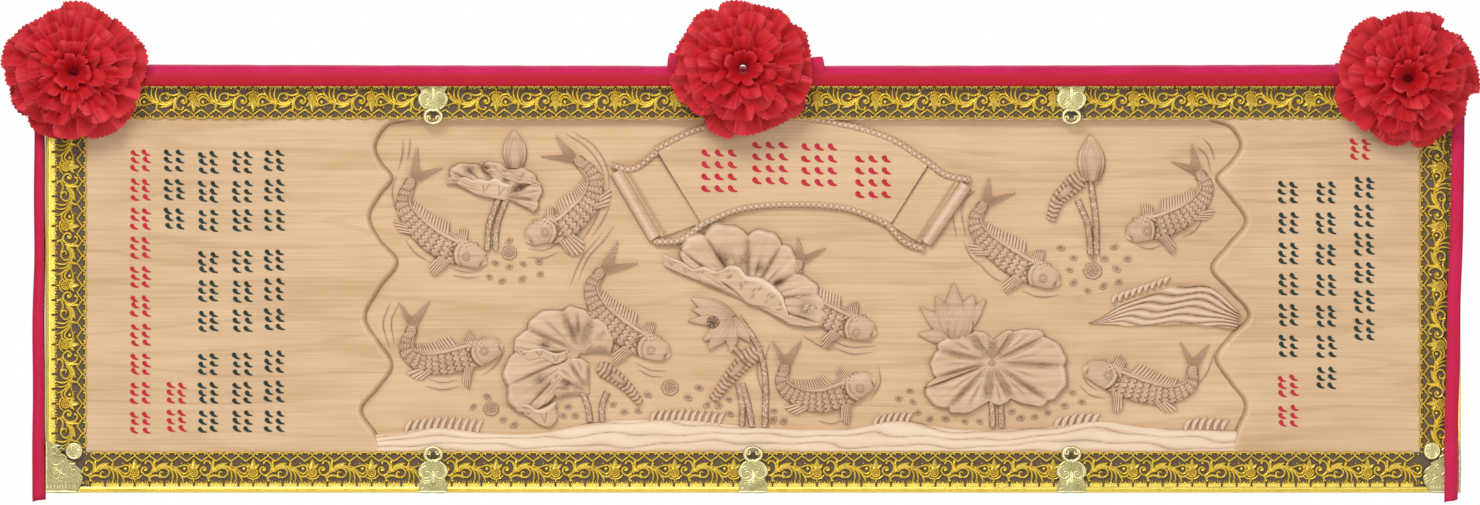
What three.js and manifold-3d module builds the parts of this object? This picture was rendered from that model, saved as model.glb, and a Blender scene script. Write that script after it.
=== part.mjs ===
// Carved wood wall plaque: a long board with koi and lotus in a cusped recess, edged with
// gilt trim and dressed with a red sash and three cloth rosettes.
// Millimetres. +X runs to the right, +Z up, and the carved front faces -Y.
// The origin is the middle of the board's flat back, which lies against the wall.

import * as THREE from 'three';
import { mergeVertices } from 'three/addons/utils/BufferGeometryUtils.js';
import Module from 'manifold-3d';

const wasm = await Module();
wasm.setup();

// Driving dimensions of the board and its gilt edging
const overallWidth = 1818;
const overallHeight = 533;
const boardThickness = 36;
const recessDepth = 11;
const trimWidth = 53;
const trimThickness = 1.2;
const trimReturn = 28;
const fitGap = 0.3;

// Driving dimensions of the carving
const koiDepth = 37;
const koiRise = 9.5;
const leafRise = 9;
const stemWidth = 8.5;
const bannerRise = 6;
const ropeRadius = 4.6;

// Driving dimensions of the sash and the rosettes
const rosetteRadius = 94.5;
const rosetteDepth = 66;
const sashFront = 52;

const groundLevel = boardThickness - recessDepth;
const figureFoot = groundLevel - 2;
const boardWidth = overallWidth - 2 * (trimThickness + fitGap);
const boardHeight = overallHeight - 2 * (trimThickness + fitGap);
const trimBack = boardThickness + fitGap;
const trimFace = trimBack + trimThickness;

// The carving is laid out on a drawing grid: one grid step is 1.285 mm on the wood, counted to
// the right and down, and the plaque's middle lies at step 753, 285.3.
const gridStep = 1.285;
const gridMiddle = [753, 285.3];

// Everything is shaped in a panel frame (right, up, out of the wall) and stood up at the end.
function onPanel([right, down]) {
  return [(right - gridMiddle[0]) * gridStep, (gridMiddle[1] - down) * gridStep];
}

const gold = { color: 0xc9a640, roughness: 0.34, metalness: 0.9 };
const paleGold = { color: 0xb9ab6a, roughness: 0.38, metalness: 0.85 };
const carvedWood = { color: 0xdcb58a, roughness: 0.55, metalness: 0 };
const redVelvet = { color: 0xb8081f, roughness: 0.85, metalness: 0 };
const redCloth = { color: 0xd41a22, roughness: 0.8, metalness: 0 };

// Closed shapes

function signedVolume(points, triangles) {
  let sum = 0;
  for (const [a, b, c] of triangles) {
    const [p, q, r] = [points[a], points[b], points[c]];
    sum += p[0] * (q[1] * r[2] - q[2] * r[1]);
    sum += p[1] * (q[2] * r[0] - q[0] * r[2]);
    sum += p[2] * (q[0] * r[1] - q[1] * r[0]);
  }
  return sum;
}

// Merges coinciding corners and drops the triangles that collapse.
function tidied(geometry) {
  const bare = geometry.clone();
  bare.deleteAttribute('normal');
  bare.deleteAttribute('uv');
  const merged = mergeVertices(bare, 1e-3);
  const index = merged.index.array;
  const kept = [];
  for (let i = 0; i < index.length; i += 3) {
    const [a, b, c] = [index[i], index[i + 1], index[i + 2]];
    if (a !== b && b !== c && c !== a) kept.push(a, b, c);
  }
  merged.setIndex(kept);
  return merged;
}

// A closed shape from corners and triangles, turned so that its faces point outwards.
function closedGeometry(points, triangles) {
  const outward = signedVolume(points, triangles) > 0;
  const facing = outward ? triangles : triangles.map(([a, b, c]) => [a, c, b]);
  const raw = new THREE.BufferGeometry();
  raw.setAttribute('position', new THREE.Float32BufferAttribute(points.flat(), 3));
  raw.setIndex(facing.flat());
  return tidied(raw);
}

// A patch of relief: rows of points on top, the same outline dropped to a flat floor below.
// A patch that wraps joins its last row to its first.
function reliefPatch(rows, floor, wraps = false) {
  const count = rows.length;
  const width = rows[0].length;
  const top = rows.flat();
  const points = [...top, ...top.map(([u, v]) => [u, v, floor])];
  const below = top.length;
  const at = (i, j) => (i % count) * width + j;
  const triangles = [];
  const strips = wraps ? count : count - 1;
  for (let i = 0; i < strips; i += 1) {
    for (let j = 0; j < width - 1; j += 1) {
      const [a, b, c, d] = [at(i, j), at(i + 1, j), at(i + 1, j + 1), at(i, j + 1)];
      triangles.push([a, b, c], [a, c, d]);
      triangles.push([a + below, c + below, b + below], [a + below, d + below, c + below]);
    }
    triangles.push(...wallBetween(at(i + 1, 0), at(i, 0), below));
    triangles.push(...wallBetween(at(i, width - 1), at(i + 1, width - 1), below));
  }
  if (!wraps) {
    for (let j = 0; j < width - 1; j += 1) {
      triangles.push(...wallBetween(at(0, j), at(0, j + 1), below));
      triangles.push(...wallBetween(at(count - 1, j + 1), at(count - 1, j), below));
    }
  }
  return closedGeometry(points, triangles);
}

function wallBetween(from, to, below) {
  return [
    [from, to, to + below],
    [from, to + below, from + below],
  ];
}

// A closed skin through equal rings of points, with a flat cap on each end.
function loft(rings, capOutline) {
  const size = rings[0].length;
  const points = rings.flat();
  const triangles = [];
  for (let i = 0; i < rings.length - 1; i += 1) {
    for (let j = 0; j < size; j += 1) {
      const k = (j + 1) % size;
      const [a, b, c, d] = [i * size + j, i * size + k, (i + 1) * size + k, (i + 1) * size + j];
      triangles.push([a, b, c], [a, c, d]);
    }
  }
  const flat = capOutline.map(([x, y]) => new THREE.Vector2(x, y));
  const cap = THREE.ShapeUtils.triangulateShape(flat, []);
  const last = (rings.length - 1) * size;
  const clockwise = THREE.ShapeUtils.isClockWise(flat);
  const sample = cap[0].map((k) => flat[k]);
  const capMatches = THREE.ShapeUtils.isClockWise(sample) === clockwise;
  for (const [a, b, c] of cap) {
    const [p, q, r] = capMatches ? [a, c, b] : [a, b, c];
    triangles.push([p, q, r], [p + last, r + last, q + last]);
  }
  return closedGeometry(points, triangles);
}

// A flat plate: an outline on the panel given a thickness.
function plate(outline, back, front) {
  const shape = new THREE.Shape(outline.map(([u, v]) => new THREE.Vector2(u, v)));
  const geometry = new THREE.ExtrudeGeometry(shape, { depth: front - back, bevelEnabled: false });
  geometry.translate(0, 0, back);
  return geometry;
}

// A low round boss with its foot sunk into what carries it.
function boss([u, v], radius, back, front, sides = 6, taper = 0) {
  const geometry = new THREE.CylinderGeometry(radius * taper, radius, front - back, sides);
  geometry.rotateX(Math.PI / 2);
  geometry.translate(u, v, (front + back) / 2);
  return geometry;
}

function toSolid(geometry) {
  const { attributes, index } = tidied(geometry);
  return new wasm.Manifold(new wasm.Mesh({
    numProp: 3,
    vertProperties: new Float32Array(attributes.position.array),
    triVerts: new Uint32Array(index.array),
  }));
}

function joined(geometries) {
  return geometries.map(toSolid).reduce((whole, part) => whole.add(part));
}

function fromSolid(solid) {
  const mesh = solid.getMesh();
  const geometry = new THREE.BufferGeometry();
  geometry.setAttribute('position', new THREE.BufferAttribute(mesh.vertProperties, 3));
  geometry.setIndex(new THREE.BufferAttribute(mesh.triVerts, 1));
  return geometry;
}

// Lines on the drawing

function lineThrough(drawing) {
  const knots = drawing.map((spot) => new THREE.Vector3(...onPanel(spot), 0));
  return new THREE.CatmullRomCurve3(knots, false, 'centripetal');
}

// A place on a line, moved sideways by some millimetres and onwards by some more.
function besideLine(line, share, sideways, onwards = 0) {
  const spot = line.getPointAt(Math.min(1, Math.max(0, share)));
  const heading = line.getTangentAt(Math.min(1, Math.max(0, share)));
  return [
    spot.x - heading.y * sideways + heading.x * onwards,
    spot.y + heading.x * sideways + heading.y * onwards,
  ];
}

function mix(a, b, share) {
  return a + (b - a) * share;
}

function mixSpots(a, b, share) {
  return a.map((value, axis) => mix(value, b[axis], share));
}

// A rounded ridge along a line: stems, pods, ropes and rolls.
const ridgeFlank = 0.4;

function ridgeAlong(drawing, steps, halfWidth, rise, level = groundLevel) {
  const line = lineThrough(drawing);
  const rows = [];
  for (let i = 0; i <= steps; i += 1) {
    const share = i / steps;
    const half = halfWidth(share, i);
    const height = rise(share, i);
    rows.push([-1, 0, 1].map((side) => {
      const edge = side === 0 ? 1 : ridgeFlank;
      return [...besideLine(line, share, side * half), level + height * edge];
    }));
  }
  return reliefPatch(rows, level - 2);
}

// Koi, each given by its back line from mouth to tail root and the two tips of its tail

const koiDrawings = [
  { spine: [[486, 262], [468, 254], [450, 248], [432, 238], [415, 222], [404, 204], [411, 180]],
    tailTips: [[417, 145], [444, 167]], back: -1 },
  { spine: [[526, 240], [543, 231], [560, 228], [577, 214], [590, 198], [593, 178], [577, 159]],
    tailTips: [[555, 134], [539, 156]], back: 1 },
  { spine: [[670, 354], [651, 347], [632, 337], [613, 323], [598, 306], [592, 288], [601, 271]],
    tailTips: [[618, 239], [639, 263]], back: -1 },
  { spine: [[502, 344], [484, 351], [464, 356], [443, 361], [420, 360], [407, 349], [412, 328]],
    tailTips: [[398, 301], [430, 300]], back: -1 },
  { spine: [[876, 332], [857, 327], [838, 320], [818, 309], [801, 296], [794, 280], [799, 262]],
    tailTips: [[798, 236], [827, 247]], back: -1 },
  { spine: [[874, 378], [858, 386], [842, 393], [822, 399], [800, 396], [783, 384], [785, 367]],
    tailTips: [[772, 340], [802, 340]], back: -1 },
  { spine: [[1060, 282], [1042, 275], [1021, 265], [1001, 252], [984, 237], [976, 221], [984, 204]],
    tailTips: [[989, 176], [1017, 192]], back: -1 },
  { spine: [[1127, 236], [1146, 228], [1167, 222], [1187, 212], [1201, 199], [1206, 187], [1200, 173]],
    tailTips: [[1192, 142], [1170, 161]], back: 1 },
  { spine: [[1085, 367], [1106, 375], [1128, 384], [1150, 391], [1172, 393], [1190, 385], [1193, 368]],
    tailTips: [[1180, 341], [1210, 343]], back: 1 },
];

// Rows of the body: share of the length, and how far the row stands over the body. The gill
// cover ends in a step.
const koiRows = [[0.01, 1], [0.08, 1.4], [0.235, 1.6], [0.25, 0], [0.44, 0], [0.64, 0], [0.84, 0], [1, 0]];
const koiColumns = [-1, -0.5, 0.5, 1];
const koiForm = { fullest: 0.36, nose: 0.3, root: 0.42, taper: 1.4, crownLow: 0.62, flank: 0.34 };
const koiGill = { share: 0.245, reach: 0.11, drawnBack: 0.045 };
const koiEyeForm = { share: 0.145, inset: 2, radius: 5, height: 3.2 };
const koiTailForm = { rays: 4, root: 0.92, start: 0.12, fork: 0.42, rootHeight: 6.5, tipHeight: 3.2 };
const finHeights = [6, 3.6];
const betweenRays = 0.6;

// Fins: where they stand along the body, how far they reach out and sweep towards the tail.
const koiFinPlans = [
  { onBack: true, from: 0.38, to: 0.72, reach: 12, fade: 0.65, swell: 0, sweep: 7, rays: 3 },
  { onBack: true, from: 0.2, to: 0.27, reach: 15, fade: 0.4, swell: 0, sweep: 4, rays: 1 },
  { onBack: false, from: 0.26, to: 0.35, reach: 12, fade: 0, swell: 10, sweep: 9, rays: 2 },
  { onBack: false, from: 0.58, to: 0.66, reach: 6, fade: 0, swell: 0, sweep: 16, rays: 1 },
];

// Half the depth of the body: a blunt nose, fullest behind the gills, drawn in at the tail root.
function koiHalfDepth(share) {
  const { fullest, nose, root, taper } = koiForm;
  const half = koiDepth / 2;
  if (share < fullest) {
    return half * mix(nose, 1, Math.sin((Math.PI / 2) * Math.sqrt(share / fullest)));
  }
  const fall = (share - fullest) / (1 - fullest);
  return half * mix(root, 1, Math.cos((Math.PI / 2) * fall) ** taper);
}

function koiCrown(share) {
  return koiRise * mix(koiForm.crownLow, 1, Math.sin(Math.PI * Math.min(1, share + 0.25)));
}

// Across the back the body is rounded, and the gill cover's edge is drawn back at its middle.
function koiBody(line) {
  const rows = koiRows.map(([share, over]) => koiColumns.map((across) => {
    const nearGills = Math.max(0, 1 - Math.abs(share - koiGill.share) / koiGill.reach);
    const place = share - koiGill.drawnBack * across * across * nearGills;
    const height = koiCrown(share) * mix(koiForm.flank, 1, Math.sqrt(1 - across * across)) + over;
    return [...besideLine(line, place, across * koiHalfDepth(place)), groundLevel + height];
  }));
  return reliefPatch(rows, figureFoot);
}

function koiEye(line, back) {
  const { share, inset, radius, height } = koiEyeForm;
  const crown = groundLevel + koiRise;
  return boss(besideLine(line, share, -back * inset), radius, crown, crown + height);
}

// The tail is a fan of rays, long at its two tips and short between them.
function koiTail(line, tailTips) {
  const { rays, fork, rootHeight, tipHeight } = koiTailForm;
  const [first, second] = tailTips.map(onPanel);
  const root = besideLine(line, koiTailForm.root, 0);
  const rows = [];
  for (let ray = 0; ray <= rays; ray += 1) {
    const share = ray / rays;
    const reach = 1 - fork * Math.sin(Math.PI * share);
    const tip = mixSpots(root, mixSpots(first, second, share), reach);
    const start = mixSpots(root, tip, koiTailForm.start);
    const ripple = ray % 2 === 0 ? 1 : betweenRays;
    rows.push([
      [...start, groundLevel + rootHeight * ripple],
      [...tip, groundLevel + tipHeight * ripple],
    ]);
  }
  return reliefPatch(rows, figureFoot);
}

// A fin's foot is hidden under the body, and its rays rise and fall in turn.
function koiFin(line, back, { onBack, from, to, reach, fade, swell, sweep, rays }) {
  const side = onBack ? back : -back;
  const footShare = 0.7;
  const rows = [];
  for (let ray = 0; ray <= rays; ray += 1) {
    const along = ray / rays;
    const share = mix(from, to, along);
    const edge = koiHalfDepth(share);
    const out = edge + reach * (1 - fade * along) + swell * Math.sin(Math.PI * along);
    const ripple = ray % 2 === 0 ? 1 : betweenRays;
    rows.push([
      [...besideLine(line, share, side * edge * footShare), groundLevel + finHeights[0] * ripple],
      [...besideLine(line, share, side * out, sweep), groundLevel + finHeights[1] * ripple],
    ]);
  }
  return reliefPatch(rows, figureFoot);
}

function koiShapes({ spine, tailTips, back }) {
  const line = lineThrough(spine);
  return [
    koiBody(line),
    koiEye(line, back),
    koiTail(line, tailTips),
    ...koiFinPlans.map((plan) => koiFin(line, back, plan)),
  ];
}

// Lotus leaves: lobes bulge out between notches on the rim, and grooves run from the notches
// to the heart of the leaf

const leafDrawings = [
  { heart: [502, 197], rise: 1,
    notches: [[462, 188], [449, 171], [482, 165], [508, 169], [537, 180], [538, 201], [534, 212]] },
  { heart: [580, 353], rise: 1,
    notches: [[612, 352], [592, 317], [562, 310], [527, 329], [514, 352], [507, 386], [522, 413],
      [552, 400]] },
  { heart: [589, 393], rise: 0.9, notches: [[556, 398], [553, 376], [568, 361], [589, 363]] },
  { heart: [748, 302], rise: 1.1,
    notches: [[700, 282], [680, 250], [703, 233], [748, 233], [783, 243], [796, 273], [819, 294],
      [822, 324], [790, 325]] },
  { heart: [992, 363], rise: 1, whole: true,
    notches: [[1011, 399], [989, 402], [948, 409], [925, 388], [936, 378], [937, 350], [972, 333],
      [994, 340], [1014, 331], [1046, 336], [1065, 366], [1049, 402]] },
];

const lobeForm = { steps: 3, bulge: 0.24, roundness: 0.7 };
const leafRings = [[0, 0.5], [0.7, 1], [1, 0.5]];
const grooveHeight = 0.6;

// Points of one lobe of the rim: an arc that stands out from the straight line between notches.
function lobe(heart, from, to) {
  const { steps, bulge, roundness } = lobeForm;
  const middle = mixSpots(from, to, 0.5);
  const span = Math.hypot(to[0] - from[0], to[1] - from[1]);
  const away = Math.hypot(middle[0] - heart[0], middle[1] - heart[1]);
  const outward = [(middle[0] - heart[0]) / away, (middle[1] - heart[1]) / away];
  const points = [];
  for (let i = 0; i < steps; i += 1) {
    const out = span * bulge * Math.sin((Math.PI * i) / steps) ** roundness;
    const spot = mixSpots(from, to, i / steps);
    points.push({ rim: [spot[0] + outward[0] * out, spot[1] + outward[1] * out], groove: i === 0 });
  }
  return points;
}

function leaf({ heart, notches, rise, whole = false }) {
  const middle = onPanel(heart);
  const rims = notches.map(onPanel);
  const spokes = [];
  const lobes = whole ? rims.length : rims.length - 1;
  for (let k = 0; k < lobes; k += 1) {
    spokes.push(...lobe(middle, rims[k], rims[(k + 1) % rims.length]));
  }
  if (!whole) spokes.push({ rim: rims[rims.length - 1], groove: true });
  const rows = spokes.map(({ rim, groove }) => leafRings.map(([share, height]) => {
    const fold = groove && share > 0 ? grooveHeight : 1;
    return [...mixSpots(middle, rim, share), groundLevel + leafRise * rise * height * fold];
  }));
  return reliefPatch(rows, figureFoot, whole);
}

// Lotus flowers: petals from a base to a tip, laid over each other, and two closed buds

const flowerDrawings = [
  { base: [955, 338], petals: [[[986, 299], 10], [[920, 307], 10], [[918, 334], 9], [[974, 294], 14],
    [[954, 283], 13], [[936, 296], 12], [[938, 306], 13], [[962, 306], 20]] },
  { base: [733, 318], petals: [[[691, 298], 12], [[691, 309], 9], [[688, 321], 8], [[703, 341], 9],
    [[708, 350], 11], [[731, 353], 9], [[750, 342], 9]] },
];

const budDrawings = [
  { from: [515, 168], to: [514, 129], half: 15.5 },
  { from: [1092, 181], to: [1091, 134], half: 17.5 },
];

const petalRows = [0, 0.5, 1];
const petalForm = { footWidth: 0.16, roundness: 0.8, rim: 0.55, tipDrop: 0.35, rise: 6, overlap: 0.6 };

// A petal is widest past its middle, with a ridge along it that fades at the tip.
function petal(base, tip, half, rise) {
  const { footWidth, roundness, rim, tipDrop } = petalForm;
  const length = Math.hypot(tip[0] - base[0], tip[1] - base[1]);
  const normal = [-(tip[1] - base[1]) / length, (tip[0] - base[0]) / length];
  const rows = petalRows.map((share) => {
    const [u, v] = mixSpots(base, tip, share);
    const width = half * Math.sin(Math.PI * mix(footWidth, 1, share)) ** roundness;
    return [-1, 0, 1].map((side) => {
      const height = rise * (side === 0 && share < 1 ? 1 : rim) * (1 - tipDrop * share);
      return [u + normal[0] * width * side, v + normal[1] * width * side, groundLevel + height];
    });
  });
  return reliefPatch(rows, figureFoot);
}

function flower({ base, petals }) {
  const { rise, overlap } = petalForm;
  return petals.map(([tip, half], order) => (
    petal(onPanel(base), onPanel(tip), half, rise + order * overlap)
  ));
}

// A closed bud is a broad petal with a narrower and shorter one on it.
function bud({ from, to, half }) {
  const [start, end] = [onPanel(from), onPanel(to)];
  const inner = { length: 0.8, width: 0.55 };
  return [
    petal(start, end, half, leafRise),
    petal(start, mixSpots(start, end, inner.length), half * inner.width, leafRise + 2),
  ];
}

// Stems and seed pods

const stemDrawings = [
  [[499, 197], [489, 225], [487, 250]],
  [[506, 199], [497, 225], [495, 250]],
  [[583, 393], [588, 408], [590, 422]],
  [[607, 392], [602, 406], [602, 422]],
  [[738, 316], [757, 345], [765, 375], [765, 427]],
  [[735, 322], [730, 340], [740, 355]],
  [[742, 384], [747, 400], [752, 427]],
  [[738, 384], [742, 405], [742, 427]],
  [[992, 400], [993, 427]],
  [[1001, 400], [1002, 427]],
  [[1091, 181], [1096, 220], [1097, 254]],
  [[1078, 200], [1088, 225], [1091, 254]],
];

const podDrawings = [
  { path: [[598, 366], [614, 376], [628, 388], [640, 403]], half: 12 },
  { path: [[757, 350], [741, 365], [728, 380], [713, 400]], half: 13.5 },
  { path: [[1082, 176], [1070, 188], [1058, 200], [1051, 220]], half: 14 },
];

const stemRise = 5;
const podForm = { steps: 6, taper: 0.55, waist: 0.78, swelling: 1.08, waistHeight: 0.75, tipDrop: 0.3 };

function stem(path) {
  return ridgeAlong(path, path.length - 1, () => stemWidth / 2, () => stemRise);
}

// A pod is a row of swellings that shrink towards its tip.
function pod({ path, half }) {
  const { steps, taper, waist, swelling, waistHeight, tipDrop } = podForm;
  const width = (share, i) => half * (1 - taper * share) * (i % 2 === 0 ? waist : swelling);
  const height = (share, i) => leafRise * (1 - tipDrop * share) * (i % 2 === 0 ? waistHeight : 1);
  return ridgeAlong(path, steps, width, height);
}

// The scroll banner: a bowed middle panel, two turned-back flaps, rolled ends and rope edges

const bannerTop = [[656, 149], [700, 129], [793, 118], [886, 137], [929, 163]];
const bannerFoot = [[702, 224], [740, 209], [796, 204], [850, 209], [890, 225]];
const bannerEdges = [
  bannerTop,
  bannerFoot,
  [[611, 165], [632, 169], [657, 152]],
  [[654, 242], [680, 240], [704, 223]],
  [[929, 163], [946, 175], [970, 180]],
  [[888, 225], [905, 242], [924, 249]],
];
const bannerRolls = [
  [[616, 172], [655, 238]],
  [[966, 185], [926, 243]],
];
const bannerFlaps = [
  [[657, 152], [622, 170], [661, 237], [703, 222]],
  [[929, 163], [960, 181], [920, 243], [889, 224]],
];

const bannerSteps = 6;
const flapHeights = [2.5, bannerRise - 1.5];
const rollForm = { half: 9, rise: bannerRise + 3.5 };
const ropeForm = { longSteps: 8, shortSteps: 4, swelling: 1.05, waist: 0.85, rise: bannerRise + 2.4 };

function bannerPanel() {
  const top = lineThrough(bannerTop);
  const foot = lineThrough(bannerFoot);
  const rows = [];
  for (let i = 0; i <= bannerSteps; i += 1) {
    const high = besideLine(top, i / bannerSteps, 0);
    const low = besideLine(foot, i / bannerSteps, 0);
    rows.push([low, high].map((spot) => [...spot, groundLevel + bannerRise]));
  }
  return reliefPatch(rows, figureFoot);
}

// A flap dips where it passes behind the panel and rises to its roll.
function bannerFlap([nearTop, farTop, farFoot, nearFoot]) {
  const rows = [[nearTop, nearFoot], [farTop, farFoot]].map(([high, low], end) => [
    [...onPanel(low), groundLevel + flapHeights[end]],
    [...onPanel(high), groundLevel + flapHeights[end]],
  ]);
  return reliefPatch(rows, figureFoot);
}

function rope(path) {
  const { longSteps, shortSteps, swelling, waist, rise } = ropeForm;
  const steps = path.length > 4 ? longSteps : shortSteps;
  return ridgeAlong(path, steps, (share, i) => ropeRadius * (i % 2 === 0 ? swelling : waist), () => rise);
}

function bannerShapes() {
  return [
    bannerPanel(),
    ...bannerFlaps.map(bannerFlap),
    ...bannerRolls.map((path) => ridgeAlong(path, 1, () => rollForm.half, () => rollForm.rise)),
    ...bannerEdges.map(rope),
  ];
}

// The rock bank, the seabed, tufts of grass and the small flowers between the figures

const bankCrest = [[1089, 323], [1104, 316], [1122, 303], [1150, 294], [1180, 286], [1208, 286], [1240, 312]];
const bankFoot = [[1089, 324], [1110, 325], [1135, 326], [1160, 325], [1185, 324], [1210, 326], [1237, 329]];

const bankStrata = [1, 0.55, 0.95, 0.5, 0.85, 0.4];
const bankRise = [3, 9];
const bankSteps = 8;

// The bank swells from its pointed end, and hollows run along it between the strata.
function rockBank() {
  const crest = lineThrough(bankCrest);
  const foot = lineThrough(bankFoot);
  const rows = [];
  for (let i = 0; i <= bankSteps; i += 1) {
    const share = i / bankSteps;
    const rise = mix(...bankRise, Math.sin((Math.PI / 2) * share));
    const [high, low] = [besideLine(crest, share, 0), besideLine(foot, share, 0)];
    rows.push(bankStrata.map((height, k) => (
      [...mixSpots(high, low, k / (bankStrata.length - 1)), groundLevel + rise * height]
    )));
  }
  return reliefPatch(rows, figureFoot);
}

const seabedCrest = [[354, 436], [400, 433], [430, 428], [500, 434], [550, 432], [590, 423], [640, 420],
  [690, 421], [760, 428], [850, 429], [900, 421], [960, 430], [1040, 428], [1100, 422], [1150, 428],
  [1256, 431]];

const sandSwells = [0.36, 0.66, 0.6, 0.99];
const sandSway = { height: 2.5, length: 95, shift: 1.7 };
const sandSteps = 13;

// Three swells of sand that climb from the recess to the face of the board.
function seabed() {
  const crest = lineThrough(seabedCrest);
  const foot = -(overallHeight / 2 - trimWidth + 2);
  const rows = [];
  for (let i = 0; i <= sandSteps; i += 1) {
    const [u, top] = besideLine(crest, i / sandSteps, 0);
    rows.push(sandSwells.map((height, k) => {
      const share = k / (sandSwells.length - 1);
      const wave = Math.sin(u / sandSway.length + k * sandSway.shift) * Math.sin(Math.PI * share);
      return [u, mix(top, foot, share) + sandSway.height * wave, groundLevel + recessDepth * height];
    }));
  }
  return reliefPatch(rows, figureFoot);
}

const tuftDrawings = [
  { from: [404, 430], to: [482, 430], height: 19, blades: 6 },
  { from: [650, 419], to: [724, 422], height: 17, blades: 6 },
  { from: [873, 424], to: [912, 420], height: 14, blades: 4 },
  { from: [1054, 425], to: [1099, 421], height: 14, blades: 4 },
  { from: [1184, 427], to: [1228, 427], height: 14, blades: 4 },
];

const bladeForm = { lean: 0.45, sunk: 4, endHeight: 0.7, betweenHeight: 0.6 };
const bladeRise = { blade: [5, 4], between: [3, 1.5] };

// A tuft is one comb of leaning blades.
function tuft({ from, to, height, blades }) {
  const { lean, sunk, endHeight, betweenHeight } = bladeForm;
  const [start, end] = [onPanel(from), onPanel(to)];
  const shift = (lean * (end[0] - start[0])) / blades;
  const rows = [];
  for (let i = 0; i <= blades * 2; i += 1) {
    const isBlade = i % 2 === 1;
    const share = i / (blades * 2);
    const [u, v] = mixSpots(start, end, share);
    const [footRise, tipRise] = isBlade ? bladeRise.blade : bladeRise.between;
    const tall = height * mix(endHeight, 1, Math.sin(Math.PI * share)) * (isBlade ? 1 : betweenHeight);
    rows.push([
      [u, v - sunk, groundLevel + footRise],
      [u + (isBlade ? shift : 0), v + tall, groundLevel + tipRise],
    ]);
  }
  return reliefPatch(rows, figureFoot);
}

// Small open flowers between the figures: right, down, radius.
const smallFlowers = [[509, 253, 10], [491, 409, 10], [670, 388, 11], [1093, 271, 12]];
const smallFlowerForm = { rise: 2, petals: 7, taper: 0.7 };

function smallFlower([right, down, radius]) {
  const { rise, petals, taper } = smallFlowerForm;
  return boss(onPanel([right, down]), radius, figureFoot, groundLevel + rise, petals, taper);
}

// The cusped recess that the figures lie in

const recessLeft = [[409, 121], [388, 126], [376, 146], [381, 161], [393, 178], [381, 195], [370, 217],
  [381, 240], [398, 262], [381, 287], [366, 318], [379, 341], [393, 365], [378, 389], [362, 410],
  [378, 433]];
const recessRight = [[1236, 429], [1245, 405], [1231, 384], [1215, 358], [1230, 335], [1248, 315],
  [1230, 292], [1211, 268], [1228, 244], [1245, 221], [1231, 199], [1216, 178], [1231, 161],
  [1240, 145], [1230, 128], [1211, 121]];

// The wall of the recess, from the ground to over the face: spread outwards, height.
const recessWall = [[0, 0], [3, 8], [9, recessDepth], [12, recessDepth + 3]];
const stepsPerSide = 20;

// The outline, spread outwards by some millimetres, as a closed ring of points.
function recessOutline(spread) {
  const ring = [];
  for (const side of [recessLeft, recessRight]) {
    const line = lineThrough(side);
    for (let i = 0; i <= stepsPerSide; i += 1) ring.push(besideLine(line, i / stepsPerSide, -spread));
  }
  const edge = overallHeight / 2 - trimWidth - 1 + spread;
  return ring.map(([u, v], i) => {
    if (i === 0 || i === ring.length - 1) return [u, edge];
    if (i === stepsPerSide || i === stepsPerSide + 1) return [u, -edge];
    return [u, v];
  });
}

// The wall rises steeply from the ground and rolls over into the face.
function recessCutter() {
  const rings = recessWall.map(([spread, height]) => (
    recessOutline(spread).map((spot) => [...spot, groundLevel + height])
  ));
  return loft(rings, recessOutline(0));
}

function boardBlock() {
  const geometry = new THREE.BoxGeometry(boardWidth, boardHeight, boardThickness);
  geometry.translate(0, 0, boardThickness / 2);
  return geometry;
}

function plaqueBoard() {
  const figures = [
    ...koiDrawings.flatMap(koiShapes),
    ...leafDrawings.map(leaf),
    ...flowerDrawings.flatMap(flower),
    ...budDrawings.flatMap(bud),
    ...stemDrawings.map(stem),
    ...podDrawings.map(pod),
    ...bannerShapes(),
    rockBank(),
    seabed(),
    ...tuftDrawings.map(tuft),
    ...smallFlowers.map(smallFlower),
  ];
  const hollowed = toSolid(boardBlock()).subtract(toSolid(recessCutter()));
  return fromSolid(hollowed.add(joined(figures)));
}

// Gilt edging: an angle of thin stamped metal, with a beaded outer rim, a raised middle band
// with flower bosses, and a lattice band inside

const bossPitch = 76.3;
const bossRadius = 9;
const bossInward = 20;
const bossHeight = 3.2;
const beadHeight = 1.8;
const bandHeight = 0.6;
const sunkInPlate = 0.4;

// The section runs inwards from the outer edge (first value) and out of the wall (second).
const trimSection = [
  [0, trimFace - trimReturn],
  [0, trimFace + beadHeight],
  [5, trimFace + beadHeight],
  [6.5, trimFace + bandHeight],
  [33, trimFace + bandHeight],
  [34.5, trimFace],
  [trimWidth - 2, trimFace],
  [trimWidth - 1, trimFace + bandHeight],
  [trimWidth, trimFace],
  [trimWidth, trimBack],
  [trimThickness, trimBack],
  [trimThickness, trimFace - trimReturn],
];

// How far the first flower boss stays from a plain end and from a mitred one
const clearOfEnd = 34;
const clearOfMitre = 75;

// One length of edging along +u with its outer edge at the given height. A mitred end is
// drawn in by as much as the section runs inwards.
function trimLength({ from, to, mitreFrom, mitreTo, outerEdge }) {
  const ringAt = (along, mitre, inward) => trimSection.map(([q, w]) => (
    [along + (mitre ? inward * q : 0), outerEdge - q, w]
  ));
  const rings = [ringAt(from, mitreFrom, 1), ringAt(to, mitreTo, -1)];
  const start = from + (mitreFrom ? clearOfMitre : clearOfEnd);
  const end = to - (mitreTo ? clearOfMitre : clearOfEnd);
  const gaps = Math.round((end - start) / bossPitch);
  const bosses = [];
  for (let i = 0; i <= gaps; i += 1) {
    const place = [mix(start, end, i / gaps), outerEdge - bossInward];
    bosses.push(boss(place, bossRadius, trimBack + sunkInPlate, trimFace + bossHeight));
  }
  return fromSolid(joined([loft(rings, trimSection), ...bosses]));
}

const trimJoints = [-411, 0, 409];

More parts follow.
